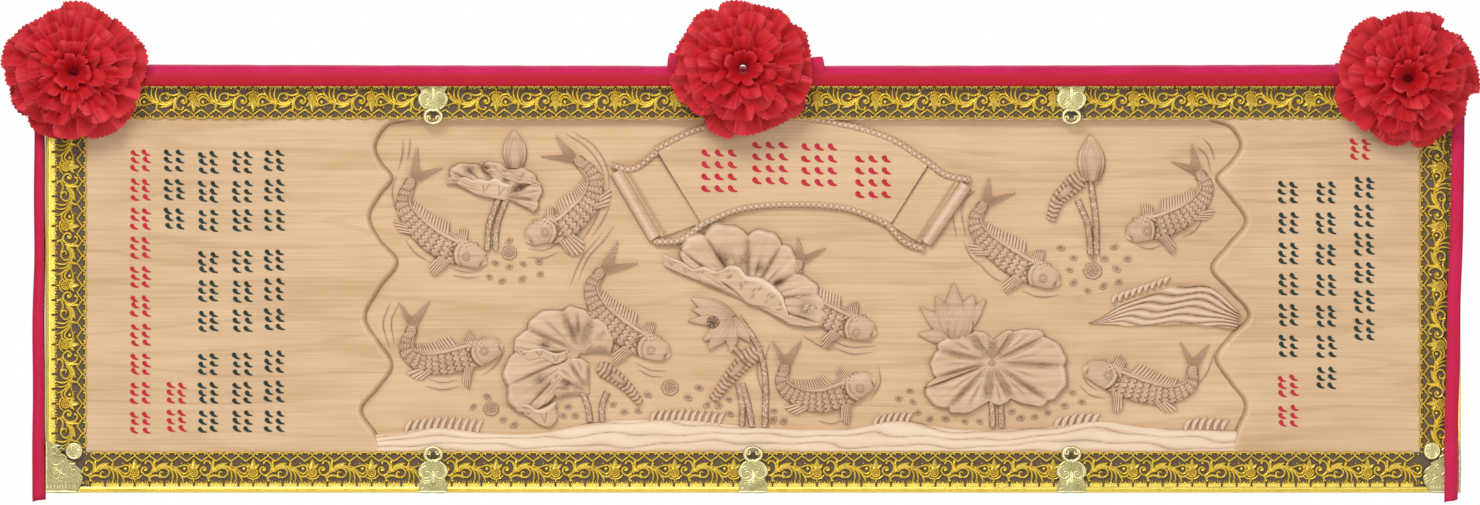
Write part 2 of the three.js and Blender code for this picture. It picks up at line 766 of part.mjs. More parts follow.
// The four lengths along one long edge, as drawn for the top.
function longTrims() {
  const half = overallWidth / 2;
  const stops = [-half, ...trimJoints, half];
  return stops.slice(1).map((to, i) => trimLength({
    from: stops[i] + (i > 0 ? fitGap / 2 : 0),
    to: to - (i < trimJoints.length ? fitGap / 2 : 0),
    mitreFrom: i === 0,
    mitreTo: i === trimJoints.length,
    outerEdge: overallHeight / 2,
  }));
}

// A side length is drawn as a top length and turned a quarter. Its mitres stay clear of the
// long lengths' mitres by the fitting gap.
function sideTrim() {
  const half = overallHeight / 2 - 1.5 * fitGap;
  return trimLength({ from: -half, to: half, mitreFrom: true, mitreTo: true, outerEdge: overallWidth / 2 });
}

// Gilt covers over the joints and the corners

const coverThickness = 1.3;
const coverBack = trimFace + bossHeight + fitGap;
const coverFace = coverBack + coverThickness;

// Half the outline of a joint cover: distance from its middle line, distance in from the edge.
const jointCoverHalf = [[18, 0], [19, 13], [14, 19], [16, 27], [7, 39], [11, 47], [7, 55]];
const jointCoverTip = 58;
const jointBoss = { inward: 48, radius: 8, height: 0.8, taper: 0.7 };

function jointCover(along) {
  const edge = overallHeight / 2;
  const right = jointCoverHalf.map(([side, inward]) => [along + side, edge - inward]);
  const left = jointCoverHalf.map(([side, inward]) => [along - side, edge - inward]).reverse();
  const crown = plate([...right, [along, edge - jointCoverTip], ...left], coverBack, coverFace);
  const { inward, radius, height, taper } = jointBoss;
  const ring = boss([along, edge - inward], radius, coverBack + sunkInPlate, coverFace + height, 6, taper);
  return fromSolid(joined([crown, ring]));
}

// The outline of a corner cover, inwards from the left edge and down from the top edge: straight
// comb edges outside, scrolls inside.
const cornerOutline = [[0, 0], [49, 0], [45, 12], [49, 22], [44, 34], [48, 44], [35, 60], [19, 66], [0, 66]];
const cornerRose = { place: [35, 47], radius: 11, height: 1.8, taper: 0.6 };

function cornerCover() {
  const onCorner = ([inward, down]) => [inward - overallWidth / 2, overallHeight / 2 - down];
  const base = plate(cornerOutline.map(onCorner), coverBack, coverFace);
  const { place, radius, height, taper } = cornerRose;
  const rose = boss(onCorner(place), radius, coverBack + sunkInPlate, coverFace + height, 6, taper);
  return fromSolid(joined([base, rose]));
}

// Red sash: gathered cloth over the top edge, flat loops behind the rosettes and a tail at
// each side

// The section over the edge: height above the board's top edge, distance out of the wall.
const sashSection = [[0.6, 16], [0.6, 43], [-10, 43], [-11, 50], [0, sashFront], [12, 47], [18, 34],
  [13, 19]];
const sashEnds = [-913, 905];
const sashSlack = 0.12;
const sashSteps = 6;

// The sash is fullest near its ends and drawn tight between them.
function sashTop() {
  const edge = overallHeight / 2;
  const rings = [];
  for (let i = 0; i <= sashSteps; i += 1) {
    const share = i / sashSteps;
    const fullness = 1 - sashSlack * Math.sin(Math.PI * share);
    rings.push(sashSection.map(([rise, out]) => (
      [mix(...sashEnds, share), edge + (rise > 1 ? rise * fullness : rise), out]
    )));
  }
  return loft(rings, sashSection);
}

const tailSection = [[-1, -0.5], [0, -1], [1, -0.5], [1, 0.5], [0, 1], [-1, 0.5]];
const tailReach = 276;

// A hanging tail: a flat oval section that drifts sideways and spreads towards its end.
function sashTail({ top, foot, middle, halfDepth }) {
  const rings = [0, 1 / 3, 2 / 3, 1].map((share) => {
    const [u, half] = mixSpots(top, foot, share);
    const v = mix(tailReach, -tailReach, share);
    return tailSection.map(([side, depth]) => [u + half * side, v, middle + halfDepth * depth]);
  });
  return loft(rings, rings[0].map(([u, , w]) => [u, w]));
}

const sashTails = [
  { top: [-917, 6], foot: [-918, 8.5], middle: 31, halfDepth: 17 },
  { top: [907, 8], foot: [895, 8.5], middle: 47.6, halfDepth: 4.2 },
];

// Rosettes, with the loops of sash that show behind each: how far they reach left and right
const rosettes = [
  { name: 'rosette_left', place: [-870, 273], loops: [60, 70] },
  { name: 'rosette_centre', place: [-13, 278], loops: [97, 105] },
  { name: 'rosette_right', place: [838, 265], loops: [93, 60] },
];
const loopHalf = [[0, 0.6], [0.7, 1], [1, 0.4], [1, -0.8], [0, -0.7]];
const loopHeight = 22;
const loopBack = 43.2;

function sashLoops({ place: [u, v], loops: [left, right] }) {
  const rightSide = loopHalf.map(([along, up]) => [u + along * right, v + up * loopHeight]);
  const leftSide = loopHalf.slice(1, -1).map(([along, up]) => [u - along * left, v + up * loopHeight]);
  return plate([...rightSide, ...leftSide.reverse()], loopBack, sashFront);
}

function sashRibbon() {
  return fromSolid(joined([sashTop(), ...sashTails.map(sashTail), ...rosettes.map(sashLoops)]));
}

// The profile of a rosette, from its flat back over its widest part to its crown: share of the
// radius, share of the depth.
const rosetteProfile = [[0.66, 0], [1, 0.3], [0.9, 0.62], [0.6, 0.92], [0.24, 1]];
const rosetteForm = { spokes: 20, lobes: 10, lobeDepth: 0.04, squash: 0.98, ruffle: 0.07 };

// A rosette is a ruffled dome of petals on a flat back.
function rosette([u, v]) {
  const { spokes, lobes, lobeDepth, squash, ruffle } = rosetteForm;
  const back = sashFront + fitGap;
  const rings = rosetteProfile.map(([share, height]) => {
    const ring = [];
    for (let i = 0; i < spokes; i += 1) {
      const turn = (2 * Math.PI * i) / spokes;
      const radius = rosetteRadius * share * (1 - lobeDepth * (1 - Math.cos(lobes * turn)));
      const depth = rosetteDepth * height * (i % 2 === 0 ? 1 : 1 - ruffle);
      ring.push([u + radius * Math.cos(turn), v + radius * Math.sin(turn) * squash, back + depth]);
    }
    return ring;
  });
  return loft(rings, rings[0]);
}

// The plaque as a scene graph

const plaque = new THREE.Group();

function addPiece(name, geometry, finish, { upsideDown = false, mirrored = false, quarterTurn = 0 } = {}) {
  const shape = geometry.clone();
  const flip = [mirrored ? -1 : 1, upsideDown ? -1 : 1, 1];
  shape.scale(...flip);
  if (mirrored !== upsideDown) {
    const index = shape.index.array;
    for (let i = 0; i < index.length; i += 3) [index[i], index[i + 1]] = [index[i + 1], index[i]];
  }
  shape.rotateZ(quarterTurn);
  shape.rotateX(Math.PI / 2);
  shape.deleteAttribute('normal');
  const mesh = new THREE.Mesh(shape, new THREE.MeshStandardMaterial(finish));
  mesh.name = name;
  plaque.add(mesh);
}

addPiece('plaque_board', plaqueBoard(), carvedWood);

longTrims().forEach((trim, i) => {
  addPiece(`trim_top_${i + 1}`, trim, gold);
  addPiece(`trim_bottom_${i + 1}`, trim, gold, { upsideDown: true });
});
addPiece('trim_left', sideTrim(), gold, { quarterTurn: Math.PI / 2 });
addPiece('trim_right', sideTrim(), gold, { quarterTurn: -Math.PI / 2 });

trimJoints.forEach((along, i) => {
  addPiece(`joint_cover_top_${i + 1}`, jointCover(along), paleGold);
  addPiece(`joint_cover_bottom_${i + 1}`, jointCover(along), paleGold, { upsideDown: true });
});
addPiece('corner_cover_top_left', cornerCover(), paleGold);
addPiece('corner_cover_top_right', cornerCover(), paleGold, { mirrored: true });
addPiece('corner_cover_bottom_left', cornerCover(), paleGold, { upsideDown: true });
addPiece('corner_cover_bottom_right', cornerCover(), paleGold, { upsideDown: true, mirrored: true });

addPiece('sash_ribbon', sashRibbon(), redVelvet);
for (const { name, place } of rosettes) addPiece(name, rosette(place), redCloth);

export default plaque;
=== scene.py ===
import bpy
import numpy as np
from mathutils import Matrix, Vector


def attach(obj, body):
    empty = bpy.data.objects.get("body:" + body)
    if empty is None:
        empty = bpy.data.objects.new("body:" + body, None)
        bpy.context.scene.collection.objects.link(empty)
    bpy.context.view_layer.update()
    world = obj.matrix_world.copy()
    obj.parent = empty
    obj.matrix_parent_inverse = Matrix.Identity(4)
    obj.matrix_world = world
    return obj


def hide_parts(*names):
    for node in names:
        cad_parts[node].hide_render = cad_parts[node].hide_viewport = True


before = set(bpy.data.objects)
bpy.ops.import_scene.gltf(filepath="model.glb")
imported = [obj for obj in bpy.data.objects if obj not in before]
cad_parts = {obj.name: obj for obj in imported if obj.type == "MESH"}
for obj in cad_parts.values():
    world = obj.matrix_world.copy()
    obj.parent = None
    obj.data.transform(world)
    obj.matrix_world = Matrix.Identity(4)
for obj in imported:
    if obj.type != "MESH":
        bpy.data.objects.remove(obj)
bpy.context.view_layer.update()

# Looks of a carved wood wall plaque with gilt edging, a sash and three cloth rosettes.
# Shapes are worked out in a panel frame in millimetres (right, up, out of the wall).

drawing = {"step": 1.285, "middle": (753.0, 285.3)}  # one drawing step is 1.285 mm on the wood
board = {"width": 1815.0, "height": 530.0, "face": 36.0, "ground": 25.0, "sunk": 22.5}
tau = 2 * np.pi
sharpAngle = tau / 7  # edges that turn more than this stay crisp


# lines on the drawing

def onPanel(spots):  # drawing steps (right, down) to millimetres (right, up)
    return (np.asarray(spots, float) - drawing["middle"]) * (drawing["step"], -drawing["step"])


def mix(a, b, share):
    return a + (b - a) * share


def smoothStep(value, low, high):  # 0 below low, 1 above high, an S curve between
    share = np.clip((value - low) / (high - low), 0, 1)
    return share * share * (3 - 2 * share)


def bump(value, centre, width):  # a bell of height 1
    return np.exp(-(((value - centre) / width) ** 2))


# A centripetal curve through the spots, as a dense line with the share of its run at each point.
def lineThrough(spots, perSpan=40):
    knots = np.asarray(spots, float)
    knots = np.vstack([2 * knots[0] - knots[1], knots, 2 * knots[-1] - knots[-2]])
    gaps = np.sqrt(np.linalg.norm(np.diff(knots, axis=0), axis=1))[:, None, None]
    before, start, end, after = (knots[k:len(knots) - 3 + k, None] for k in range(4))
    first, middle, last = gaps[:-2], gaps[1:-1], gaps[2:]
    leave = ((start - before) / first - (end - before) / (first + middle) + (end - start) / middle) * middle
    arrive = ((end - start) / middle - (after - start) / (middle + last) + (after - end) / last) * middle
    t = np.linspace(0, 1, perSpan, endpoint=False)[None, :, None]
    points = (2 * t**3 - 3 * t**2 + 1) * start + (t**3 - 2 * t**2 + t) * leave
    points = points + (3 * t**2 - 2 * t**3) * end + (t**3 - t**2) * arrive
    points = np.vstack([points.reshape(-1, knots.shape[1]), knots[-2]])
    run = np.r_[0, np.cumsum(np.linalg.norm(np.diff(points, axis=0), axis=1))]
    return {"points": points, "run": run / run[-1], "length": run[-1]}


def spotOn(line, share):
    columns = line["points"].T
    return np.stack([np.interp(share, line["run"], column) for column in columns], axis=-1)


# Places beside a line: at a share of its run, some millimetres to its left and some onwards.
def beside(line, share, sideways=0.0, onwards=0.0):
    share, sideways, onwards = np.broadcast_arrays(np.clip(share, 0, 1), sideways, onwards)
    reach = 0.012
    heading = spotOn(line, np.clip(share + reach, 0, 1)) - spotOn(line, np.clip(share - reach, 0, 1))
    heading = heading / np.linalg.norm(heading, axis=-1, keepdims=True)
    left = np.stack([-heading[..., 1], heading[..., 0]], axis=-1)
    return spotOn(line, share) + left * sideways[..., None] + heading * onwards[..., None]


def raised(spots, height):  # panel spots with a height over the wall
    return np.concatenate([spots, np.broadcast_to(height, spots.shape[:-1])[..., None]], axis=-1)


# closed shapes: points, faces in groups of one size, and a tint (1 paints shade, and on the wood staining, into
# hollows; -1 paints a highlight on an edge)

def shapeOf(points, groups, tint=0.0):
    points = np.asarray(points, float).reshape(-1, 3)
    volume = 0.0
    for faces, _ in groups:
        first, second, third = points[faces[:, :1]], points[faces[:, 1:-1]], points[faces[:, 2:]]
        volume += np.sum(first * np.cross(second, third))
    if volume < 0:
        groups = [(faces[:, ::-1], smooth) for faces, smooth in groups]
    tint = np.broadcast_to(tint, points.shape[:1]) if np.ndim(tint) == 0 else np.ravel(tint)
    return {"points": points, "groups": groups, "tint": tint}


def gridQuads(rows, columns, closedRows=False, closedColumns=False):
    i = np.arange(rows if closedRows else rows - 1)[:, None]
    j = np.arange(columns if closedColumns else columns - 1)[None, :]
    nextRow, nextColumn = (i + 1) % rows, (j + 1) % columns
    corners = [i * columns + j, nextRow * columns + j, nextRow * columns + nextColumn,
               i * columns + nextColumn]
    return np.stack([np.broadcast_to(c, (len(i), j.shape[1])).ravel() for c in corners], axis=1)


# A patch of relief: a grid of points on top, a steep wall round it and a flat floor below.
def reliefPatch(top, floor=None, tint=0.0):
    rows, columns = top.shape[:2]
    floor = board["sunk"] if floor is None else floor
    index = np.arange(rows * columns).reshape(rows, columns)
    ring = np.concatenate([index[0], index[1:, -1], index[-1, -2::-1], index[-2:0:-1, 0]])
    upper = top.reshape(-1, 3)
    lower = upper[ring] * (1, 1, 0) + (0, 0, floor)
    low = np.arange(len(ring)) + len(upper)
    walls = np.stack([ring, low, np.roll(low, -1), np.roll(ring, -1)], axis=1)
    quads = gridQuads(rows, columns)
    flat = upper[quads]
    area = np.sum(np.cross((flat[:, 2] - flat[:, 0])[:, :2], (flat[:, 3] - flat[:, 1])[:, :2]))
    groups = [(quads, True), (walls[:, ::-1], False), (low[None, :], False)]
    if area < 0:
        groups = [(faces[:, ::-1], smooth) for faces, smooth in groups]
    tint = np.broadcast_to(tint, (rows, columns)).ravel()
    shape = {"points": np.vstack([upper, lower]), "groups": groups}
    # the steep walls take a darker tint: painted shade on the sides of the relief
    shape["tint"] = np.concatenate([tint, np.clip(tint[ring] + 0.25, -1, 1)])
    return shape


# A disc of relief round a middle spot: rings of points from the middle to the rim.
def reliefDisc(middle, rings, floor=None, tint=0.0, middleTint=0.0):
    count, size = rings.shape[:2]
    floor = board["sunk"] if floor is None else floor
    points = np.vstack([np.reshape(middle, (1, 3)), rings.reshape(-1, 3)])
    around = np.arange(size)
    first = 1 + around
    fan = np.stack([np.zeros(size, int), first, np.roll(first, -1)], axis=1)
    quads = gridQuads(count, size, closedColumns=True) + 1
    rim = 1 + (count - 1) * size + around
    low = len(points) + around
    lower = points[rim] * (1, 1, 0) + (0, 0, floor)
    walls = np.stack([rim, low, np.roll(low, -1), np.roll(rim, -1)], axis=1)
    a, b, c = points[fan[:, 0]], points[fan[:, 1]], points[fan[:, 2]]
    anticlockwise = np.sum(np.cross((b - a)[:, :2], (c - a)[:, :2])) > 0
    groups = [(fan, True), (quads, True), (walls, False), (low[None, ::-1], False)]
    if not anticlockwise:
        groups = [(faces[:, ::-1], smooth) for faces, smooth in groups]
    tint = np.broadcast_to(tint, (count, size)).ravel()
    shape = {"points": np.vstack([points, lower]), "groups": groups}
    shape["tint"] = np.concatenate([[middleTint], tint, tint[-size:]])
    return shape


# A round turned form: profile rows of (radius, height) about a spot, stretched and turned if asked.
def turnedDisc(spot, profile, height, sides=16, stretch=(1.0, 1.0), turn=0.0, floor=None, tints=None):
    profile = np.asarray(profile, float)
    angle = tau * np.arange(sides) / sides
    circle = np.stack([np.cos(angle) * stretch[0], np.sin(angle) * stretch[1]], axis=1)
    turned = circle @ np.array([[np.cos(turn), np.sin(turn)], [-np.sin(turn), np.cos(turn)]])
    spots = np.asarray(spot, float) + profile[1:, 0, None, None] * turned[None]
    heights = np.broadcast_to((height + profile[1:, 1])[:, None], spots.shape[:2])
    tints = np.zeros(len(profile)) if tints is None else np.asarray(tints, float)
    middle = [spot[0], spot[1], height + profile[0, 1]]
    rim = np.broadcast_to(tints[1:, None], heights.shape)
    return reliefDisc(middle, raised(spots, heights), floor, rim, tints[0])


# A bar of rounded section carried along a line lying on the panel: it stands on a floor height.
barSection = np.array([(-1, 0), (-0.72, 0.72), (0, 1), (0.72, 0.72), (1, 0)])


def barAlong(spots, halfWidth, rise, floor, tint=0.0, closed=False):
    spots = np.asarray(spots, float)
    if closed:
        heading = np.roll(spots, -1, axis=0) - np.roll(spots, 1, axis=0)
    else:
        heading = np.gradient(spots, axis=0)
    heading = heading / np.maximum(np.linalg.norm(heading, axis=1, keepdims=True), 1e-9)
    left = np.stack([-heading[:, 1], heading[:, 0]], axis=1)
    half = np.broadcast_to(halfWidth, len(spots))[:, None, None]
    high = np.broadcast_to(rise, len(spots))[:, None]
    base = np.broadcast_to(floor, len(spots))[:, None]
    flat = spots[:, None] + left[:, None] * barSection[None, :, :1] * half
    points = raised(flat, base + barSection[None, :, 1] * high)
    count, size = points.shape[:2]
    quads = gridQuads(count, size, closedRows=closed, closedColumns=True)
    groups = [(quads, True)]
    if not closed:
        ends = np.stack([np.arange(size), np.arange(size)[::-1] + (count - 1) * size])
        groups.append((ends, False))
    tint = np.broadcast_to(tint, count)[:, None] if np.ndim(tint) < 2 else tint
    return shapeOf(points, groups, np.broadcast_to(tint, (count, size)).ravel())


def boxShape(low, high, tint=0.0):
    (a, b, c), (d, e, f) = low, high
    points = [(a, b, c), (d, b, c), (d, e, c), (a, e, c), (a, b, f), (d, b, f), (d, e, f), (a, e, f)]
    faces = [(0, 3, 2, 1), (4, 5, 6, 7), (0, 1, 5, 4), (1, 2, 6, 5), (2, 3, 7, 6), (3, 0, 4, 7)]
    return shapeOf(points, [(np.array(faces), False)], tint)


# moves a shape in the panel frame: turned about the middle, then shifted
def placed(shape, shift=(0.0, 0.0), turn=0.0, lift=0.0):
    points = shape["points"].copy()
    c, s = np.cos(turn), np.sin(turn)
    points[:, :2] = points[:, :2] @ np.array([[c, s], [-s, c]]) + shift
    points[:, 2] += lift
    return {**shape, "points": points}


# Joins shapes into one object that stands up in the frame, rides on the body and takes a finish.
def makePiece(name, shapes, finish, nodes, body="root"):
    starts = np.cumsum([0] + [len(shape["points"]) for shape in shapes])
    points = np.vstack([shape["points"] for shape in shapes])
    corners, sizes, smooth = [], [], []
    for shape, start in zip(shapes, starts):
        for faces, isSmooth in shape["groups"]:
            corners.append((faces + start).ravel())
            sizes.append(np.full(len(faces), faces.shape[1]))
            smooth.append(np.full(len(faces), isSmooth))
    corners, sizes, smooth = (np.concatenate(part) for part in (corners, sizes, smooth))
    mesh = bpy.data.meshes.new(name)
    mesh.vertices.add(len(points))
    standing = np.stack([points[:, 0], -points[:, 2], points[:, 1]], axis=1) / 1000
    mesh.vertices.foreach_set("co", standing.astype(np.float32).ravel())
    mesh.loops.add(len(corners))
    mesh.loops.foreach_set("vertex_index", corners.astype(np.int32))
    mesh.polygons.add(len(sizes))
    mesh.polygons.foreach_set("loop_start", np.r_[0, np.cumsum(sizes)[:-1]].astype(np.int32))
    mesh.polygons.foreach_set("use_smooth", smooth)
    for key in {key for shape in shapes for key in shape if key not in ("points", "groups")}:
        empty = [np.zeros(len(shape["points"])) for shape in shapes]
        values = np.concatenate([shape.get(key, spare) for shape, spare in zip(shapes, empty)])
        mesh.attributes.new(key, "FLOAT", "POINT").data.foreach_set("value", values.astype(np.float32))
    mesh.update(calc_edges=True)
    mesh.validate()
    mesh.set_sharp_from_angle(angle=sharpAngle)
    piece = bpy.data.objects.new(name, mesh)
    bpy.context.scene.collection.objects.link(piece)
    mesh.materials.append(finish)
    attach(piece, body)
    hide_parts(*nodes)
    return piece


# finishes

def newFinish(name):
    finish = bpy.data.materials.new(name)
    finish.use_nodes = True
    tree = finish.node_tree
    shader = tree.nodes["Principled BSDF"]
    return finish, tree, shader


# Adds a node: plain values go to its sockets, and sockets of other nodes are linked.
def addNode(tree, kind, settings=None, **inputs):
    node = tree.nodes.new("ShaderNode" + kind)
    for key, value in (settings or {}).items():
        setattr(node, key, value)
    for key, value in inputs.items():
        socket = node.inputs[int(key[2:]) if key.startswith("in") and key[2:].isdigit() else key.replace("_", " ")]
        if isinstance(value, bpy.types.NodeSocket):
            tree.links.new(value, socket)
        else:
            socket.default_value = value
    return node.outputs[0]


def compute(tree, operation, first, second=0.0, third=None):
    extra = {} if third is None else {"in2": third}
    return addNode(tree, "Math", {"operation": operation}, in0=first, in1=second, **extra)


def remap(tree, value, low, high, start=0.0, end=1.0, style="SMOOTHSTEP"):
    return addNode(tree, "MapRange", {"interpolation_type": style}, Value=value, From_Min=low,
                   From_Max=high,
                   To_Min=start, To_Max=end)


def blendColour(tree, share, first, second, style="MIX"):
    node = tree.nodes.new("ShaderNodeMix")
    node.data_type, node.blend_type = "RGBA", style
    for socket, value in ((node.inputs[0], share), (node.inputs[6], first), (node.inputs[7], second)):
        if isinstance(value, bpy.types.NodeSocket):
            tree.links.new(value, socket)
        else:
            socket.default_value = (*value, 1) if isinstance(value, tuple) else value
    return node.outputs[2]


def readAttribute(tree, name):
    node = tree.nodes.new("ShaderNodeAttribute")
    node.attribute_name = name
    return node.outputs["Fac"]


def stretched(tree, scale, shift=(0, 0, 0), turn=(0, 0, 0)):  # object coordinates, stretched
    coordinates = tree.nodes.new("ShaderNodeTexCoord").outputs["Object"]
    return addNode(tree, "Mapping", None, Vector=coordinates, Location=shift, Rotation=turn, Scale=scale)


def noise(tree, scale, detail=3.0, roughness=0.5, shift=(0, 0, 0), distortion=0.0):
    return addNode(tree, "TexNoise", None, Vector=stretched(tree, scale, shift), Scale=1.0, Detail=detail,
                   Roughness=roughness, Distortion=distortion)


def giveBump(tree, shader, height, strength, distance):
    tree.links.new(addNode(tree, "Bump", None, Strength=strength, Distance=distance, Height=height),
                   shader.inputs["Normal"])


# Carving wood: fine grain along the board, slow bands of figure; the tint attribute mixes in a dark brown for staining
# and painted shade in the hollows, and a pale painted highlight on crests and edges.
woodTones = {
    "ground": {"light": (0.76, 0.53, 0.31), "dark": (0.60, 0.37, 0.19)},
    "figure": {"light": (0.72, 0.49, 0.31), "dark": (0.52, 0.31, 0.18)},
    "leaf": {"light": (0.77, 0.55, 0.35), "dark": (0.58, 0.36, 0.21)},
    "sand": {"light": (0.86, 0.66, 0.46), "dark": (0.70, 0.46, 0.28)},
    # a dark brown for staining and painted shade in hollows, a pale painted highlight colour, and painted shade for the
    # board under the edging
    "stainAndShade": (0.115, 0.048, 0.028), "cream": (0.93, 0.76, 0.58), "underEdge": (0.13, 0.085, 0.05),
    "greenBlack": (0.006, 0.03, 0.024), "red": (0.55, 0.012, 0.03),
}


def woodFinish(name, tones, painted=False):
    finish, tree, shader = newFinish(name)
    place = tree.nodes.new("ShaderNodeSeparateXYZ")
    tree.links.new(stretched(tree, (1, 1, 1)), place.inputs[0])
    fine = noise(tree, (5, 60, 330), detail=4, roughness=0.65)
    bands = noise(tree, (1.6, 8, 17), detail=2, roughness=0.4, shift=(3, 0, 1), distortion=0.35)
    blotch = noise(tree, (9, 12, 22), detail=3, shift=(0, 0, 4))
    rise = compute(tree, "MULTIPLY", place.outputs["Z"], 26.0)
    phase = compute(tree, "ADD", compute(tree, "MULTIPLY", bands, 13.0), rise)
    wave = compute(tree, "SINE", compute(tree, "MULTIPLY", phase, 2.4))
    line = remap(tree, wave, 0.72, 1.0)
    share = compute(tree, "ADD", remap(tree, fine, 0.32, 0.72, 0.0, 0.5),
                    remap(tree, blotch, 0.3, 0.7, 0.0, 0.32))
    share = compute(tree, "ADD", share, compute(tree, "MULTIPLY", line, 0.28))
    colour = blendColour(tree, share, tones["light"], tones["dark"])
    tint = readAttribute(tree, "tint")
    speckle = remap(tree, noise(tree, (420, 420, 420), detail=2), 0.35, 0.7, 0.75, 1.1)
    # positive tint: staining and painted shade in hollows, grooves and on walls
    colour = blendColour(tree, compute(tree, "MULTIPLY", remap(tree, tint, 0.03, 1.0, 0.0, 0.9, "LINEAR"),
                                       speckle),
                         colour, woodTones["stainAndShade"])
    # negative tint: painted highlight on crests and edges
    colour = blendColour(tree, remap(tree, tint, -0.05, -1.0, 0.0, 0.85, "LINEAR"), colour,
                         woodTones["cream"])
    # the front of the board under the gilt edging is coloured dark: painted shade that shows through the piercings
    across = compute(tree, "SUBTRACT", compute(tree, "ABSOLUTE", place.outputs["X"]), 0.8562)
    upward = compute(tree, "SUBTRACT", compute(tree, "ABSOLUTE", place.outputs["Z"]), 0.2136)
    under = compute(tree, "MAXIMUM", across, upward)
    front = remap(tree, place.outputs["Y"], -0.002, -0.004)
    underEdgingShade = compute(tree, "MULTIPLY", remap(tree, under, 0.0, 0.0016), front)
    colour = blendColour(tree, underEdgingShade, colour, woodTones["underEdge"])
    roughness = remap(tree, fine, 0.3, 0.7, 0.44, 0.56)
    if painted:
        covered = remap(tree, readAttribute(tree, "paint"), 0.42, 0.58)
        hue = blendColour(tree, readAttribute(tree, "redShare"), woodTones["greenBlack"], woodTones["red"])
        colour = blendColour(tree, covered, colour, hue)
        roughness = remap(tree, covered, 0.0, 1.0, 0.5, 0.3)
    tree.links.new(colour, shader.inputs["Base Color"])
    tree.links.new(roughness, shader.inputs["Roughness"])
    shader.inputs["Specular IOR Level"].default_value = 0.32
    giveBump(tree, shader, fine, 0.12, 0.0006)
    return finish


# Gilt stamped metal: the tint attribute paints it dark in the hollows and bright on the crests (painted shade and
# highlight), with patchy tarnish and a slightly uneven skin.
def giltFinish(name, bright, deep, roughness):
    finish, tree, shader = newFinish(name)
    tarnish = noise(tree, (55, 55, 55), detail=4)
    tint = readAttribute(tree, "tint")
    # tint: painted shade in the hollows of the stamped pattern, added to the patchy tarnish
    share = compute(tree, "ADD", remap(tree, tint, 0.0, 1.0, 0.0, 0.9, "LINEAR"),
                    remap(tree, tarnish, 0.5, 0.75, 0.0, 0.25))
    tree.links.new(blendColour(tree, share, bright, deep), shader.inputs["Base Color"])
    tree.links.new(remap(tree, tarnish, 0.3, 0.7, roughness - 0.05, roughness + 0.08),
                   shader.inputs["Roughness"])
    shader.inputs["Metallic"].default_value = 0.65
    giveBump(tree, shader, noise(tree, (480, 480, 480), detail=2), 0.22, 0.0005)
    return finish


# Red cloth: a fine weave; the edge attribute paints it lighter and rosier towards rims, crests and folds, a painted
# highlight that also stands for light through the cloth, since its transmission weight comes from an argument that is
# zero here.
def clothFinish(name, deep, light, weave, sheen, through):
    finish, tree, shader = newFinish(name)
    # the edge attribute carries the painted highlight
    edge = readAttribute(tree, "edge")
    patchy = noise(tree, (30, 30, 30), detail=3)
    share = compute(tree, "MULTIPLY", remap(tree, edge, 0.0, 1.0, 0.0, 1.0, "LINEAR"),
                    remap(tree, patchy, 0.25, 0.75, 0.6, 1.15))
    colour = blendColour(tree, share, deep, light)
    tree.links.new(colour, shader.inputs["Base Color"])
    threads = addNode(tree, "TexWave", {"wave_type": "BANDS", "bands_direction": "DIAGONAL"},
                      Vector=stretched(tree, (1, 1, 1)), Scale=weave, Distortion=1.5, Detail=1.0)
    giveBump(tree, shader, threads, 0.10, 0.0004)
    shader.inputs["Roughness"].default_value = 0.62
    shader.inputs["Sheen Weight"].default_value = sheen
    shader.inputs["Sheen Roughness"].default_value = 0.4
    shader.inputs["Sheen Tint"].default_value = (1.0, 0.35, 0.4, 1)
    shader.inputs["Specular IOR Level"].default_value = 0.3
    shader.inputs["Transmission Weight"].default_value = through
    return finish


groundWood = woodFinish("groundWood", woodTones["ground"], painted=True)
figureWood = woodFinish("figureWood", woodTones["figure"])
bannerWood = woodFinish("bannerWood", woodTones["ground"], painted=True)
sandWood = woodFinish("sandWood", woodTones["sand"])
leafWood = woodFinish("leafWood", woodTones["leaf"])
gilt = giltFinish("gilt", (0.97, 0.76, 0.14), (0.40, 0.25, 0.04), 0.27)
paleGilt = giltFinish("paleGilt", (0.90, 0.82, 0.42), (0.20, 0.18, 0.05), 0.30)
rosetteCloth = clothFinish("rosetteCloth", (0.54, 0.002, 0.006), (0.80, 0.05, 0.065), 900.0, 0.15, 0.0)
sashCloth = clothFinish("sashCloth", (0.50, 0.002, 0.02), (0.70, 0.01, 0.12), 1400.0, 0.35, 0.0)
print("finishes ready")


# the board: two plain ends, the sunk middle and the sloping shoulders round it

seams = {"left": -519.0, "right": 650.0, "top": 212.4}
inscription = {
    "pitch": 29.0, "cell": 23.0, "jitter": 0.7, "perCell": (2, 3), "cut": 1.1, "seed": 41,
    "lean": 0.62, "strokeHalf": 2.5,
    # middle of a column of cells, its top and its foot on the drawing, and whether it is painted red
    "left": [(141, 147, 438, 1), (175, 147, 234, 0), (177, 380, 436, 1), (209, 149, 236, 0),
             (209, 248, 337, 0),
             (209, 351, 437, 0), (243, 149, 236, 0), (243, 248, 337, 0), (243, 351, 437, 0),
             (275, 147, 236, 0), (275, 246, 335, 0), (275, 348, 437, 0)],
    "right": [(1289, 178, 362, 0), (1289, 372, 432, 1), (1327, 178, 394, 0), (1365, 174, 345, 0),
              (1361, 132, 168, 1)],
    "banner": [(720, 172), (771, 164), (820, 166), (874, 178)],
}


